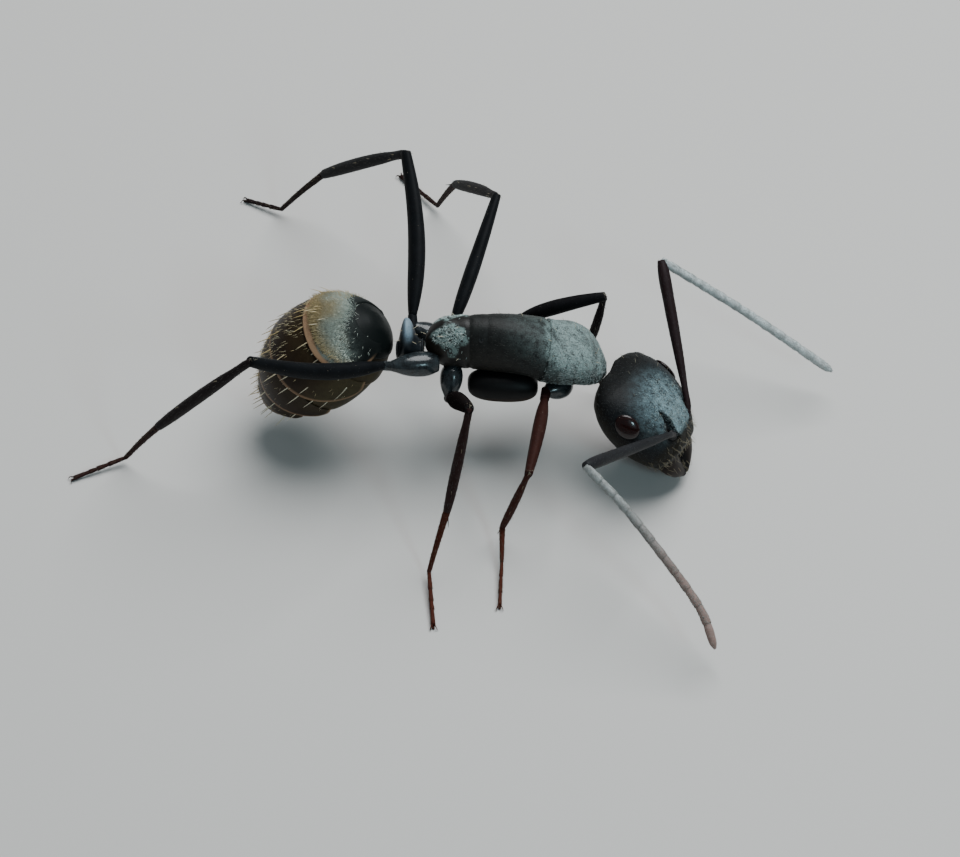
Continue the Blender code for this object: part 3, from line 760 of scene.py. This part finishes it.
# Even steps along a smooth line through the given points.
def smooth_line(points, steps):
    pts = [Vector(p) for p in points]
    pts = [pts[0]*2 - pts[1]] + pts + [pts[-1]*2 - pts[-2]]
    fine = []
    for i in range(1, len(pts) - 2):
        p0, p1, p2, p3 = pts[i - 1], pts[i], pts[i + 1], pts[i + 2]
        for j in range(24):
            u = j/24
            fine.append(0.5*((2*p1) + (p2 - p0)*u + (2*p0 - 5*p1 + 4*p2 - p3)*u*u
                             + (3*p1 - p0 - 3*p2 + p3)*u**3))
    fine.append(pts[-2])
    gone = [0.0]
    for p, q in zip(fine, fine[1:]):
        gone.append(gone[-1] + (q - p).length)
    line = []
    for i in range(steps + 1):
        want = gone[-1]*i/steps
        k = min(max(bisect.bisect_left(gone, want) - 1, 0), len(fine) - 2)
        line.append(fine[k].lerp(fine[k + 1], (want - gone[k])/max(gone[k + 1] - gone[k], 1e-9)))
    return line


# A round bar that follows a bent line, with its own thickness all along.
def bent_bar(bm, line, radius, rings, sides, lip=0.03):
    heading = [(line[min(i + 1, len(line) - 1)] - line[max(i - 1, 0)]).normalized() for i in range(len(line))]
    sides_out = [heading[0].cross(Vector((0, 0, 1))).normalized()]
    for h in heading[1:]:
        sides_out.append((sides_out[-1] - h*sides_out[-1].dot(h)).normalized())

    def place(t, a):
        k, share = run(t, lip)
        i = min(int(k*(len(line) - 1)), len(line) - 2)
        u = k*(len(line) - 1) - i
        h = heading[i].lerp(heading[i + 1], u).normalized()
        out = sides_out[i].lerp(sides_out[i + 1], u).normalized()
        r = radius(k)*share
        return at(*(line[i].lerp(line[i + 1], u) + out*(r*math.cos(a)) + h.cross(out)*(r*math.sin(a))))
    grow(bm, rings, sides, place)


def scape(hand, sign):
    root, elbow = feeler_root(sign, -0.02), Vector(FEELERS[hand][0])
    lift = root + (elbow - root).normalized()*0.45 + head_up*SCAPE_RISE[hand]
    rest = [lift.lerp(elbow, k) for k in (0.5, 1.0)]
    line = smooth_line([root, root.lerp(lift, 0.35) + head_up*0.03, lift] + rest, 24)
    bm = bmesh.new()
    bent_bar(bm, line, lambda k: scape_r(k)*SCAPE_SIZE, 72, 20, 0.015)
    rust, bloom_and_sheen = SCAPE_TINT[hand]
    return finished("scape_shaft_" + hand, bm, scape_black, ("scape_" + hand,),
                    {"rust": rust, "bloom_and_sheen": lambda t, a, co: bloom_and_sheen*ease(0.02, 0.2, t)})


def funiculus(hand):
    line = smooth_line(FEELERS[hand], 240)
    shares = [1.10] + [1.0]*9 + [1.35]
    bm = bmesh.new()
    start = 0.0
    for i, share in enumerate(shares):
        end = start + share/sum(shares)
        piece = [line[min(int(round(j)), 240)] for j in np.linspace(max(start - 0.006, 0.0)*240, end*240, 9)]
        shape = profile((0.0, 0.12, 0.55, 0.86, 1.0), (.055, .064, .066, .048, .020) if i == 10 else
                        (.056, .061, .067, .070, .066))
        bent_bar(bm, piece, lambda k: shape(k)*JOINT_SIZE, 18, 16, 0.10)
        start = end

    def from_tip(co):
        return (from_line(co) - Vector(FEELERS[hand][-1])).length
    if hand == "right":
        marks = {"pink": lambda t, a, co: ease(3.2, 0.6, from_tip(co)),
                 "bloom_and_sheen": lambda t, a, co: 0.14 + 0.30*ease(1.5, 3.4, from_tip(co))}
    else:
        marks = {"pink": lambda t, a, co: 0.35*ease(2.0, 0.3, from_tip(co)), "bloom_and_sheen": 0.80}
    return finished("funiculus_joints_" + hand, bm, feeler_down, ("funiculus_" + hand,), marks)


scapes = [scape("right", 1), scape("left", -1)]
funiculi = [funiculus("right"), funiculus("left")]

# ================================================================ legs
# Each leg is a coxa, a small trochanter, a spindle-shaped femur, a tibia that widens to its spur and a foot
# of five joints with two claws. The hind legs are black; the shins and feet of the others are red-brown.
LEGS = {
    "hind_left": ((-0.74, 0.42, 2.06), (-1.18, 0.50, 2.33), (-1.32, 3.45, 3.61), (-2.86, 4.96, 1.45),
                  (-3.68, 5.27, 0.16), (-4.40, 5.62, 0.05)),
    "mid_left": ((-0.46, 0.29, 1.87), (-0.54, 0.74, 1.80), (0.29, 3.23, 2.73), (-0.45, 4.88, 1.27),
                 (-0.79, 5.36, 0.16), (-1.54, 6.28, 0.05)),
    "fore_left": ((1.04, 0.60, 1.50), (0.55, 0.95, 1.97), (2.18, 0.92, 2.64), (1.87, 0.92, 1.12),
                  (2.24, 0.87, 0.16), (2.72, 0.45, 0.05)),
    "hind_right": ((-0.84, -0.37, 2.34), (-1.55, -0.53, 2.45), (-3.91, -1.74, 3.98), (-5.63, -1.11, 1.50),
                   (-6.29, -0.70, 0.16), (-7.29, -1.13, 0.05)),
    "mid_right": ((-0.50, -0.33, 1.94), (-0.54, -0.61, 1.68), (-0.18, -2.48, 3.61), (-0.57, -2.91, 1.38),
                  (-0.89, -3.29, 0.16), (-0.80, -4.50, 0.05)),
    "fore_right": ((1.40, -0.28, 1.60), (1.16, -0.50, 1.72), (0.84, -2.50, 1.90), (0.39, -2.49, 0.40),
                   (0.38, -3.06, 0.14), (0.34, -4.04, 0.05)),
}
# Half thickness of a pair's coxa, femur, tibia and foot; how far each femur bows; and how red-brown each
# leg's femur, tibia and foot are.
LEG_R = {"hind": (0.22, 0.185, 0.118, 0.056), "mid": (0.20, 0.160, 0.106, 0.056),
         "fore": (0.21, 0.150, 0.082, 0.046)}
BOW = {"hind_left": (0.13, 0.0, 0.0), "mid_left": (0.02, 0.0, 0.03), "fore_left": (0.0, 0.0, 0.05),
       "hind_right": (0.0, -0.06, -0.14), "mid_right": (0.0, 0.0, 0.05), "fore_right": (0.02, 0.0, 0.03)}
RUST = {"hind_left": (0.0, 0.02, 0.12), "mid_left": (0.0, 0.05, 0.2), "fore_left": (0.02, 0.12, 0.3),
        "hind_right": (0.0, 0.10, 0.30), "mid_right": (0.10, 0.26, 0.85), "fore_right": (0.36, 0.62, 0.95)}
coxa_r = profile((0.0, 0.15, 0.45, 0.75, 0.92, 1.0), (.70, .92, 1.0, .78, .52, .42))
femur_r = profile((0.0, 0.05, 0.15, 0.35, 0.60, 0.80, 0.95, 1.0), (.46, .62, .85, 1.0, .93, .80, .66, .60))
tibia_r = profile((0.0, 0.05, 0.12, 0.30, 0.60, 0.85, 1.0), (.55, .70, .70, .90, 1.0, .92, .74))
leg_shell = cuticle("leg_shell", (0.0046, 0.0045, 0.0050),
                    [("rust", (0.078, 0.0165, 0.0070), 0.25), ("bloom_and_sheen", (0.036, 0.050, 0.062), 0.5)],
                    rough=0.50, relief=1.4, level=0.05)
leg_matt = cuticle("leg_matt", (0.0070, 0.0060, 0.0056),
                   [("rust", (0.030, 0.0060, 0.0030), 0.25), ("bloom_and_sheen", (0.036, 0.050, 0.062), 0.5)],
                   rough=0.80, relief=1.4, level=0.0)
coxa_gloss = cuticle("coxa_gloss", (0.0055, 0.0056, 0.0062),
                     [("rust", (0.034, 0.0072, 0.0036), 0.25), ("bloom_and_sheen", (0.085, 0.120, 0.135), 0.9)],
                     rough=0.24, relief=1.2, level=0.28, ripple=9)
fill(coxa_gloss, coxa_gloss.node_tree.nodes["Principled BSDF"], {"Coat Weight": 0.4, "Coat Roughness": 0.12})


# Five foot joints, two hooked claws and the pad between them.
def foot(ankle, heel, toe, r):
    bm = bmesh.new()
    bar(bm, ankle, heel, lambda k: r*(1.15 - 0.42*k), 30, 16, 0.03, bow=Vector((0, 0, 0.03)))
    start = heel
    for end in (0.30, 0.50, 0.64, 0.90):
        stop = heel.lerp(toe, end)
        bar(bm, start, stop, lambda k: r*(0.58 + 0.20*k), 16, 14, 0.08)
        start = stop
    ahead = toe - heel
    ahead.z = 0.0
    ahead.normalize()
    side = ahead.cross(Vector((0, 0, 1)))
    for sign in (-1, 1):
        hook = [start + ahead*x + side*(sign*y) + Vector((0, 0, z))
                for x, y, z in ((-0.01, 0.012, 0.0), (0.035, 0.030, 0.012), (0.075, 0.052, 0.0))]
        tip = start + ahead*0.095 + side*(sign*0.064)
        tip.z = 0.004
        bent_bar(bm, smooth_line(hook + [tip], 10), lambda k: 0.015*(1 - 0.8*k), 12, 8, 0.06)
    pad = start + ahead*0.030
    pad.z = 0.024
    bar(bm, pad - ahead*0.05, pad + ahead*0.03, lambda k: 0.022, 8, 10, 0.35)
    return bm


def limb(kind, name, bm, finish, rust, bloom_and_sheen, node=None):
    return finished(kind + "_" + name, bm, finish, (node + "_" + name,) if node else (),
                    {"rust": rust, "bloom_and_sheen": bloom_and_sheen})


leg_pieces = {}
for name, points in LEGS.items():
    pair, hand = name.split("_")
    base, hip, knee, ankle, heel, toe = (Vector(p) for p in points)
    femur_rust, tibia_rust, foot_rust = RUST[name]
    coxa_size, femur_size, tibia_size, foot_size = LEG_R[pair]
    thigh, shin = (knee - hip).normalized(), (ankle - knee).normalized()
    across = thigh.cross(shin).normalized()       # a leg's joints are flattened across the plane it bends in
    knuckle = hip + thigh*0.20

    coxa = bmesh.new()
    root = base + (base - hip).normalized()*(0.10 if pair == "hind" else 0.20)
    bar(coxa, root, hip, lambda k: coxa_size*coxa_r(k), 40, 28, 0.20)
    limb("coxa_cone", name, coxa, coxa_gloss, 0.0, 0.15, "coxa")

    trochanter = bmesh.new()
    bar(trochanter, hip - thigh*0.05, knuckle, lambda k: 0.092 - 0.010*k, 20, 18, 0.25)
    limb("trochanter", name, trochanter, coxa_gloss if name == "hind_right" else leg_shell,
         femur_rust, 0.10)

    femur = bmesh.new()
    bar(femur, knuckle - thigh*0.02, knee + thigh*0.03, lambda k: femur_size*femur_r(k), 64, 24, 0.03,
        flat=0.78, bow=Vector(BOW[name]), across=across)
    femur_piece = limb("femur_spindle", name, femur, leg_matt if name == "mid_right" else leg_shell,
                       femur_rust, 0.06, "femur")

    tibia = bmesh.new()
    bar(tibia, knee - shin*0.02, ankle, lambda k: tibia_size*tibia_r(k), 56, 20, 0.03, flat=0.86,
        bow=across.cross(shin)*-0.03, across=across)
    spur_side = shin.cross(Vector((0, 0, 1))).normalized()
    for sign in ((-1, 1) if pair != "fore" else (1,)):
        stop = ankle + shin*0.30 + spur_side*(sign*0.10) - Vector((0, 0, 0.02))
        bar(tibia, ankle - shin*0.05, stop, lambda k: 0.020*(1 - 0.85*k), 12, 8, 0.05)
    tibia_piece = limb("tibia_shaft", name, tibia, leg_shell, tibia_rust, 0.10, "tibia")

    foot_piece = limb("tarsus_joints", name, foot(ankle, heel, toe, foot_size), leg_shell,
                      foot_rust, 0.08, "tarsus")
    leg_pieces[name] = (femur_piece, tibia_piece, foot_piece)

# ================================================================ coat
# Fine hairs grow out of the plates: short flat down on the gaster, thinner down elsewhere, and a few stout
# pale bristles. Each hair is a closed tapering spike; its patch on the map lies at its root on the plate.
def hairs(name, roots, finish, sides=3, parts=2):
    spot, heading, sag, length, thick, on_plate, gold = (np.array(column) for column in zip(*roots))
    count = len(spot)
    length, thick = length[:, None], thick[:, None]
    rings = []
    for j in range(parts):
        k = j/parts
        middle = spot + heading*length*k + sag*length*k*k
        tangent = heading + sag*2*k
        tangent /= np.linalg.norm(tangent, axis=1)[:, None]
        side = np.cross(tangent, np.array([0.31, 0.52, 0.79]))
        side /= np.linalg.norm(side, axis=1)[:, None]
        up = np.cross(tangent, side)
        radius = thick*(1 - 0.55*k)
        rings.append([middle + side*radius*math.cos(2*math.pi*i/sides) + up*radius*math.sin(2*math.pi*i/sides)
                      for i in range(sides)])
    rings.append([spot + heading*length + sag*length])
    points = np.array([p for ring in rings for p in ring]).transpose(1, 0, 2).reshape(-1, 3)*MM
    points += np.array(BODY_LINE)
    points[:, 2] = np.maximum(points[:, 2], 0.002*MM)
    each = sides*parts + 1
    faces = [list(range(sides))[::-1]]
    for j in range(parts - 1):
        faces += [[j*sides + i, j*sides + (i + 1) % sides, (j + 1)*sides + (i + 1) % sides, (j + 1)*sides + i]
                  for i in range(sides)]
    last = (parts - 1)*sides
    faces += [[last + i, last + (i + 1) % sides, each - 1] for i in range(sides)]
    mesh = bpy.data.meshes.new(name)
    mesh.from_pydata(points.tolist(), [],
                     [[n*each + i for i in face] for n in range(count) for face in faces])
    patch = np.array([[0.0012*math.cos(2*math.pi*i/sides)*(1 - j/parts), 0.0014*(2*j/parts - 1)]
                      for j in range(parts) for i in range(sides)] + [[0.0, 0.0014]])
    on_map = (on_plate[:, None, :]*0.99 + 0.005 + patch[None]).reshape(-1, 2)
    corner = np.zeros(len(mesh.loops), dtype=np.int32)
    mesh.loops.foreach_get("vertex_index", corner)
    layer = mesh.uv_layers.new(name="OFBake")
    layer.data.foreach_set("uv", on_map[corner].astype(np.float32).ravel())
    tint = mesh.attributes.new("gold", "FLOAT", "POINT")
    tint.data.foreach_set("value", np.repeat(gold, each).astype(np.float32))
    placed(name, mesh, finish, ())


# A ball's faces come in another order on each run, so its triangles are put in one order here.
def ordered_triangles(mesh):
    tris = []
    for face in mesh.polygons:
        corners = list(face.vertices)
        first = corners.index(min(corners))
        corners = corners[first:] + corners[:first]
        tris += [(corners[0], corners[i], corners[i + 1]) for i in range(1, len(corners) - 1)]
    return np.array(sorted(tris))


# Roots spread over a plate's outside by area, thinned by weigh(t, a, place).
def roots_on(piece, count, draw, weigh, inside):
    mesh = piece.data
    size = len(mesh.vertices)
    co, normal, t, a = np.zeros(size*3), np.zeros(size*3), np.zeros(size), np.zeros(size)
    mesh.vertices.foreach_get("co", co)
    mesh.vertices.foreach_get("normal", normal)
    mesh.attributes["t"].data.foreach_get("value", t)
    mesh.attributes["a"].data.foreach_get("value", a)
    co, normal = (co.reshape(-1, 3) - np.array(BODY_LINE))/MM, normal.reshape(-1, 3)
    tris = ordered_triangles(mesh)
    p, q, r = co[tris[:, 0]], co[tris[:, 1]], co[tris[:, 2]]
    middle, cross = (p + q + r)/3, np.cross(q - p, r - p)
    share = np.linalg.norm(cross, axis=1)/2*np.clip(weigh(t[tris].mean(1), a[tris[:, 0]], middle), 0, None)
    if inside is not None:
        share = share*(np.einsum("ij,ij->i", cross, middle - np.array(inside)) > 0)
    pick = draw.choice(len(tris), size=count, p=share/share.sum())
    u, v = draw.random(count), draw.random(count)
    over = u + v > 1
    u[over], v[over] = 1 - u[over], 1 - v[over]
    mix = np.stack([1 - u - v, u, v], axis=1)
    spots = np.einsum("ij,ijk->ik", mix, co[tris[pick]])
    out = np.einsum("ij,ijk->ik", mix, normal[tris[pick]])
    out /= np.linalg.norm(out, axis=1)[:, None]
    near = tris[pick, mix.argmax(1)]
    return spots, out, t[near], a[near]


def everywhere(t, a, p):
    return 1.0 + 0*t


# Grows hairs on a plate, lying along way and raised from the skin by rise degrees. Rise, length and gold are
# numbers, or functions of t and a.
def grown(piece, count, seed, weigh, way, rise, length, thick, gold, sag=0.25, scatter=0.25, inside=None):
    draw = np.random.default_rng(seed)
    lots = []
    for spot, out, t, a in zip(*roots_on(piece, count, draw, weigh, inside)):
        n = Vector(out)
        f = Vector(way) + Vector(draw.normal(0, scatter, 3))
        f = (f - n*f.dot(n)).normalized()
        up = math.radians(rise(t, a) if callable(rise) else rise)*draw.uniform(0.75, 1.25)
        heading = f*math.cos(up) + n*math.sin(up)
        long = (length(t, a) if callable(length) else length)*draw.uniform(0.75, 1.2)
        tint = gold(t, a) if callable(gold) else gold
        lots.append((spot - np.array(n)*thick*0.6, np.array(heading), np.array(-n*sag*math.sin(up)), long,
                     thick*draw.uniform(0.85, 1.15), (a/(2*math.pi) + 0.5, min(max(t, 0.0), 1.0)),
                     min(max(tint + draw.normal(0, 0.08), 0.0), 1.0)))
    return lots


def hair_finish(name, silver, golden, rough):
    mat = bpy.data.materials.new(name)
    mat.use_nodes = True
    tint = shade(mat, "Attribute", {}, "Fac", attribute_name="gold")
    colour = shade(mat, "Mix", {"Factor": tint, "A": (*silver, 1), "B": (*golden, 1)}, "Result",
                   data_type="RGBA")
    fill(mat, mat.node_tree.nodes["Principled BSDF"],
         {"Base Color": colour, "Roughness": rough, "Specular IOR Level": 0.5})
    return mat


# ---- gaster down: silver on the band of the first plate, a band that is also a painted highlight, golden behind
# it and thick along the back, where a golden crest stands up. The plates behind carry only a thin golden down
# along the back.
down = hair_finish("gaster_down", (0.50, 0.58, 0.52), (0.50, 0.40, 0.20), 0.42)


def first_weight(t, a, p):
    band = np.exp(-((t - 0.085 - 0.10*np.clip(np.abs(a), 0, 1.08)/1.08)/0.05)**2)
    ridge = np.exp(-(a/0.38)**2)*np.clip((t - 0.05)/0.06, 0, 1)
    low = np.clip((np.abs(np.degrees(a)) - 35)/67, 0, 1.3)
    inside = t < 0.285*(1 - 0.55*low**2.3) - 0.058
    return (0.003 + 1.5*band*np.exp(-(a/1.2)**4) + 1.3*ridge + 0.45*(t > 0.14))*inside


def first_gold(t, a):
    return 0.9*ease(0.13, 0.22, t) + 0.7*ease(0.45, 0.1, abs(a))*ease(0.05, 0.12, t) + 0.08


def crest_weight(t, a, p):
    return np.exp(-((a + 0.50)/0.45)**2)*(t > 0.07)*(t < 0.275)


hairs("gaster_down_1",
      grown(gaster_plates[0], 7000, 11, first_weight, gaster_back,
            lambda t, a: 16 + 22*ease(1.15, 0.3, abs(a)),
            lambda t, a: 0.070 + 0.06*ease(1.1, 0.2, abs(a)), 0.0032, first_gold, inside=GASTER_MIDDLE), down)
hairs("gaster_crest", grown(gaster_plates[0], 420, 17, crest_weight, gaster_back, 50, 0.115, 0.0042, 0.95,
                            0.35, 0.35, GASTER_MIDDLE), down)
for k, count in ((2, 170), (3, 140), (4, 100), (5, 60)):
    hairs("gaster_down_%d" % k,
          grown(gaster_plates[k - 1], count, 20 + k, lambda t, a, p: 0.10 + 1.4*np.exp(-(a/0.45)**2),
                gaster_back, lambda t, a: 14 + 18*ease(0.9, 0.0, abs(a)),
                lambda t, a: 0.08 + 0.05*ease(0.9, 0.0, abs(a)), 0.0032, 0.85, inside=GASTER_MIDDLE), down)

# ---- gaster bristles: a row of stout pale bristles along each hind rim, a second row on the second plate,
# and long ones that stand on the first plate's back and far side.
bristle = hair_finish("pale_bristle", (0.62, 0.60, 0.50), (0.66, 0.50, 0.22), 0.34)


def gaster_bristle(q, a, sunk, heading, sag, length, thick, gold):
    return (np.array(gaster_point(q, a, sunk)), np.array(heading.normalized()), np.array(sag), length, thick,
            (a/(2*math.pi) + 0.5, q), gold)


def out_of_gaster(q, a):
    return (gaster_point(q, a, 0.05) - gaster_point(q, a)).normalized()


def rim_bristles(k, seed):
    draw = np.random.default_rng(seed)
    lots = []
    rows = [(0.012, 15 if k < 3 else 9, 1.0 if k < 3 else 0.8)] + ([(0.120, 9, 1.0)] if k == 2 else [])
    for back, count, size in rows:
        for i in range(count):
            a = math.radians(-108 + 216*(i + 0.5 + draw.uniform(-0.3, 0.3))/count)
            q = plate_rim(k, a) - back - draw.uniform(0.0, 0.018)
            n = out_of_gaster(q, a)
            up = math.radians(draw.uniform(8, 22))
            heading = gaster_back*math.cos(up) + n*math.sin(up) + gaster_side*draw.normal(0, 0.10)
            lots.append(gaster_bristle(q, a, 0.010, heading, -n*0.10, size*draw.uniform(0.30, 0.42), 0.0110,
                                       0.25 + 0.75*ease(math.radians(60), 0, abs(a))))
    return lots


stout = [root for k in range(1, 6) for root in rim_bristles(k, 40 + k)]
draw = np.random.default_rng(77)
for i in range(20):
    q, a = (draw.uniform(0.04, 0.20), draw.uniform(-0.55, 0.35)) if i < 16 else (0.03 + 0.06*(i - 16), -0.80)
    heading = out_of_gaster(q, a)*draw.uniform(0.6, 1.0) + gaster_back*draw.uniform(0.3, 0.8)
    heading += gaster_side*draw.normal(0, 0.2)
    stout.append(gaster_bristle(q, a, 0.0, heading, gaster_back*0.18, draw.uniform(0.22, 0.42), 0.0100,
                                draw.uniform(0.2, 0.9)))
hairs("gaster_bristles", stout, bristle, sides=5, parts=4)

# ---- head hairs: golden bristles fan out from the clypeus and jaws, and a few stand on the crown. Tiny
# silver hairs frost the crown, and dark ones lie between them.
dim_bristle = hair_finish("dim_bristle", (0.30, 0.28, 0.22), (0.23, 0.175, 0.085), 0.42)
silver_down = hair_finish("silver_down", (0.27, 0.35, 0.355), (0.36, 0.26, 0.17), 0.5)
dark_down = hair_finish("dark_down", (0.034, 0.042, 0.045), (0.12, 0.085, 0.045), 0.6)


def head_places(p):
    p = p - np.array(HEAD_MIDDLE)
    return p @ np.array(head_along), p @ np.array(head_side), p @ np.array(head_up)


def clypeus_weight(t, a, p):
    x, s, u = head_places(p)
    return np.clip((x - 0.40)/0.2, 0, 1)*(u > -0.25)


def crown_weight(t, a, p):
    x, s, u = head_places(p)
    return (u > 0.1)*(t < 0.6)*1.0


def top_weight(t, a, p):
    x, s, u = head_places(p)
    return (u > -0.1)*1.0


def frost_weight(t, a, p):                         # thickest on the crown and between the feelers
    x, s, u = head_places(p)
    between = (np.abs(s) < 0.30)*(x > 0.05)*(x < 0.48)
    return (np.exp(-np.hypot((x + 0.05)/0.45, s/0.5)**4) + 0.8*between)*(u > 0.1)


def jaw_weight(t, a, p):
    return (t > 0.15)*(t < 0.9)*1.0


face = grown(head_piece, 150, 61, clypeus_weight, head_along, 36, 0.155, 0.0028, 0.5, 0.35, 0.42)
face += grown(head_piece, 20, 62, crown_weight, -head_along, 68, 0.13, 0.0050, 0.2, 0.30, 0.3)
for jaw in (jaw_right, jaw_left):
    face += grown(jaw, 45, 63, jaw_weight, head_along, 35, 0.14, 0.0028, 0.5, 0.3, 0.40)
hairs("head_bristles", face, dim_bristle, sides=4, parts=3)
hairs("head_frost", grown(head_piece, 1500, 68, frost_weight, head_along, 9, 0.045, 0.0034, 0.02, 0.2, 0.6),
      silver_down)
hairs("head_down", grown(head_piece, 3600, 64, top_weight, head_along, 8, 0.050, 0.0024, 0.05, 0.2, 0.3),
      dark_down)


# ---- middle body and waist hairs: flat silver down, thickest on the pronotum, a patch of coarse frost on the
# slope above the waist, and a few standing bristles along the back.
def pronotum_weight(t, a, p):
    return 0.2 + 1.0*(p[:, 2] > 1.9)*(p[:, 0] > 1.4)


def mesothorax_weight(t, a, p):
    return 0.2 + np.clip(p[:, 0], 0, 1)


def patch_weight(t, a, p):
    return 1.0*(np.hypot((p[:, 0] + 0.54)/0.28, (np.abs(a) - 0.66)/0.42) < 1.0) + 0.02


def back_weight(t, a, p):
    return np.exp(-(a/0.9)**2)*(p[:, 2] > 2.1)


to_rear = (-1.0, 0.0, -0.1)
frost = hair_finish("frost_hair", (0.44, 0.54, 0.53), (0.50, 0.46, 0.30), 0.4)
hairs("pronotum_down", grown(pronotum, 4200, 65, pronotum_weight, to_rear, 10, 0.060, 0.0030, 0.15,
                             0.2, 0.35), silver_down)
hairs("mesothorax_down", grown(mesothorax, 1500, 66, mesothorax_weight, to_rear, 9, 0.050, 0.0024, 0.2,
                               0.2, 0.35), dark_down)
hairs("propodeum_down", grown(propodeum, 420, 67, patch_weight, to_rear, 18, 0.070, 0.0062, 0.1,
                              0.2, 0.9), frost)
body_bristles = []
for plate, count, seed in ((pronotum, 12, 71), (mesothorax, 9, 72), (propodeum, 12, 73), (petiole, 8, 74)):
    body_bristles += grown(plate, count, seed, back_weight, to_rear, 66, 0.14, 0.0050, 0.3, 0.25, 0.3)
hairs("body_bristles", body_bristles, bristle, sides=4, parts=3)

# ---- feeler hairs: dense silvery down on the short joints and a little dark down on the scapes. It lies
# towards the tip.
for hand, sign, gold, scape_piece, joints in (("right", 1, 0.35, scapes[0], funiculi[0]),
                                              ("left", -1, 0.15, scapes[1], funiculi[1])):
    elbow, tip = Vector(FEELERS[hand][0]), Vector(FEELERS[hand][-1])
    to_tip, to_elbow = (tip - elbow).normalized(), (elbow - feeler_root(sign)).normalized()
    hairs("funiculus_down_" + hand, grown(joints, 3600, 81, everywhere, to_tip, 20, 0.040, 0.0026, gold,
                                          0.2, 0.3), silver_down)
    hairs("scape_down_" + hand, grown(scape_piece, 500, 82, everywhere, to_elbow, 12, 0.045, 0.0022, 0.1,
                                      0.2, 0.3), dark_down)

# ---- leg hairs: thin dark down, thicker towards the foot, and short bristles on the shin and round the knee.
# They lie towards the toes.
for name, (femur_piece, tibia_piece, foot_piece) in leg_pieces.items():
    base, hip, knee, ankle, heel, toe = (Vector(p) for p in LEGS[name])
    thigh, shin, foot_way = (knee - hip).normalized(), (ankle - knee).normalized(), (toe - ankle).normalized()
    lots = grown(femur_piece, 200, 91, everywhere, thigh, 11, 0.050, 0.0022, 0.15, 0.2, 0.2)
    lots += grown(tibia_piece, 400, 92, everywhere, shin, 15, 0.050, 0.0024, 0.25, 0.2, 0.2)
    lots += grown(foot_piece, 420, 93, everywhere, foot_way, 22, 0.045, 0.0030, 0.75, 0.2, 0.2)
    hairs("leg_down_" + name, lots, dark_down)
    lots = grown(tibia_piece, 14, 94, everywhere, shin, 32, 0.085, 0.0040, 0.5, 0.2, 0.15)
    lots += grown(femur_piece, 7, 95, everywhere, thigh, 55, 0.12, 0.0042, 0.4, 0.2, 0.2)
    lots += grown(femur_piece, 5, 96, lambda t, a, p: (t > 0.95)*1.0, thigh, 40, 0.12, 0.0042, 0.3, 0.2, 0.5)
    hairs("leg_bristles_" + name, lots, dim_bristle, sides=4, parts=3)

# ================================================================ stage
# A plain pale floor, a broad soft light overhead and behind, a small bluish one in front that gives the eye
# its glint, and the camera, looking down at the ant's right side.
FLOOR_HALF = 0.4
VIEW_FAR, VIEW_TILT = 0.090, math.radians(50)
floor_bm = bmesh.new()
bmesh.ops.create_grid(floor_bm, x_segments=1, y_segments=1, size=FLOOR_HALF)
floor_mesh = bpy.data.meshes.new("floor")
floor_bm.to_mesh(floor_mesh)
floor_bm.free()
floor = bpy.data.objects.new("floor", floor_mesh)
bpy.context.scene.collection.objects.link(floor)
floor_paint = bpy.data.materials.new("floor_paint")
floor_paint.use_nodes = True
fill(floor_paint, floor_paint.node_tree.nodes["Principled BSDF"],
     {"Base Color": (0.60, 0.585, 0.56, 1), "Roughness": 0.9})
floor_mesh.materials.append(floor_paint)

world = bpy.data.worlds.new("studio")
bpy.context.scene.world = world
world.use_nodes = True
fill(world, world.node_tree.nodes["Background"], {"Color": (0.86, 0.93, 1.0, 1), "Strength": 0.17})
VIEW_SPOT = at(0.0, 0.0, 0.125)


def soft_light(name, away, size, power, colour):
    data = bpy.data.lights.new(name, "AREA")
    data.shape = "DISK"
    data.size = size
    data.energy = power
    data.color = colour
    lamp = bpy.data.objects.new(name, data)
    lamp.location = VIEW_SPOT + Vector(away)
    lamp.rotation_euler = (VIEW_SPOT - lamp.location).to_track_quat("-Z", "Y").to_euler()
    bpy.context.scene.collection.objects.link(lamp)


soft_light("sky_panel", (0.022, 0.026, 0.078), 0.074, 0.104, (0.95, 0.98, 1.0))
soft_light("glint_panel", (0.038, -0.056, 0.052), 0.013, 0.011, (0.58, 0.90, 1.0))

camera_data = bpy.data.cameras.new("view")
camera_data.lens = 189.0
camera_data.sensor_width = 36.0
camera_data.clip_start = 0.001
camera_data.clip_end = 2.0
camera = bpy.data.objects.new("view", camera_data)
camera.location = VIEW_SPOT + Vector((0.0, -math.cos(VIEW_TILT), math.sin(VIEW_TILT)))*VIEW_FAR
camera.rotation_euler = (VIEW_SPOT - camera.location).to_track_quat("-Z", "Y").to_euler()
bpy.context.scene.collection.objects.link(camera)
bpy.context.scene.camera = camera
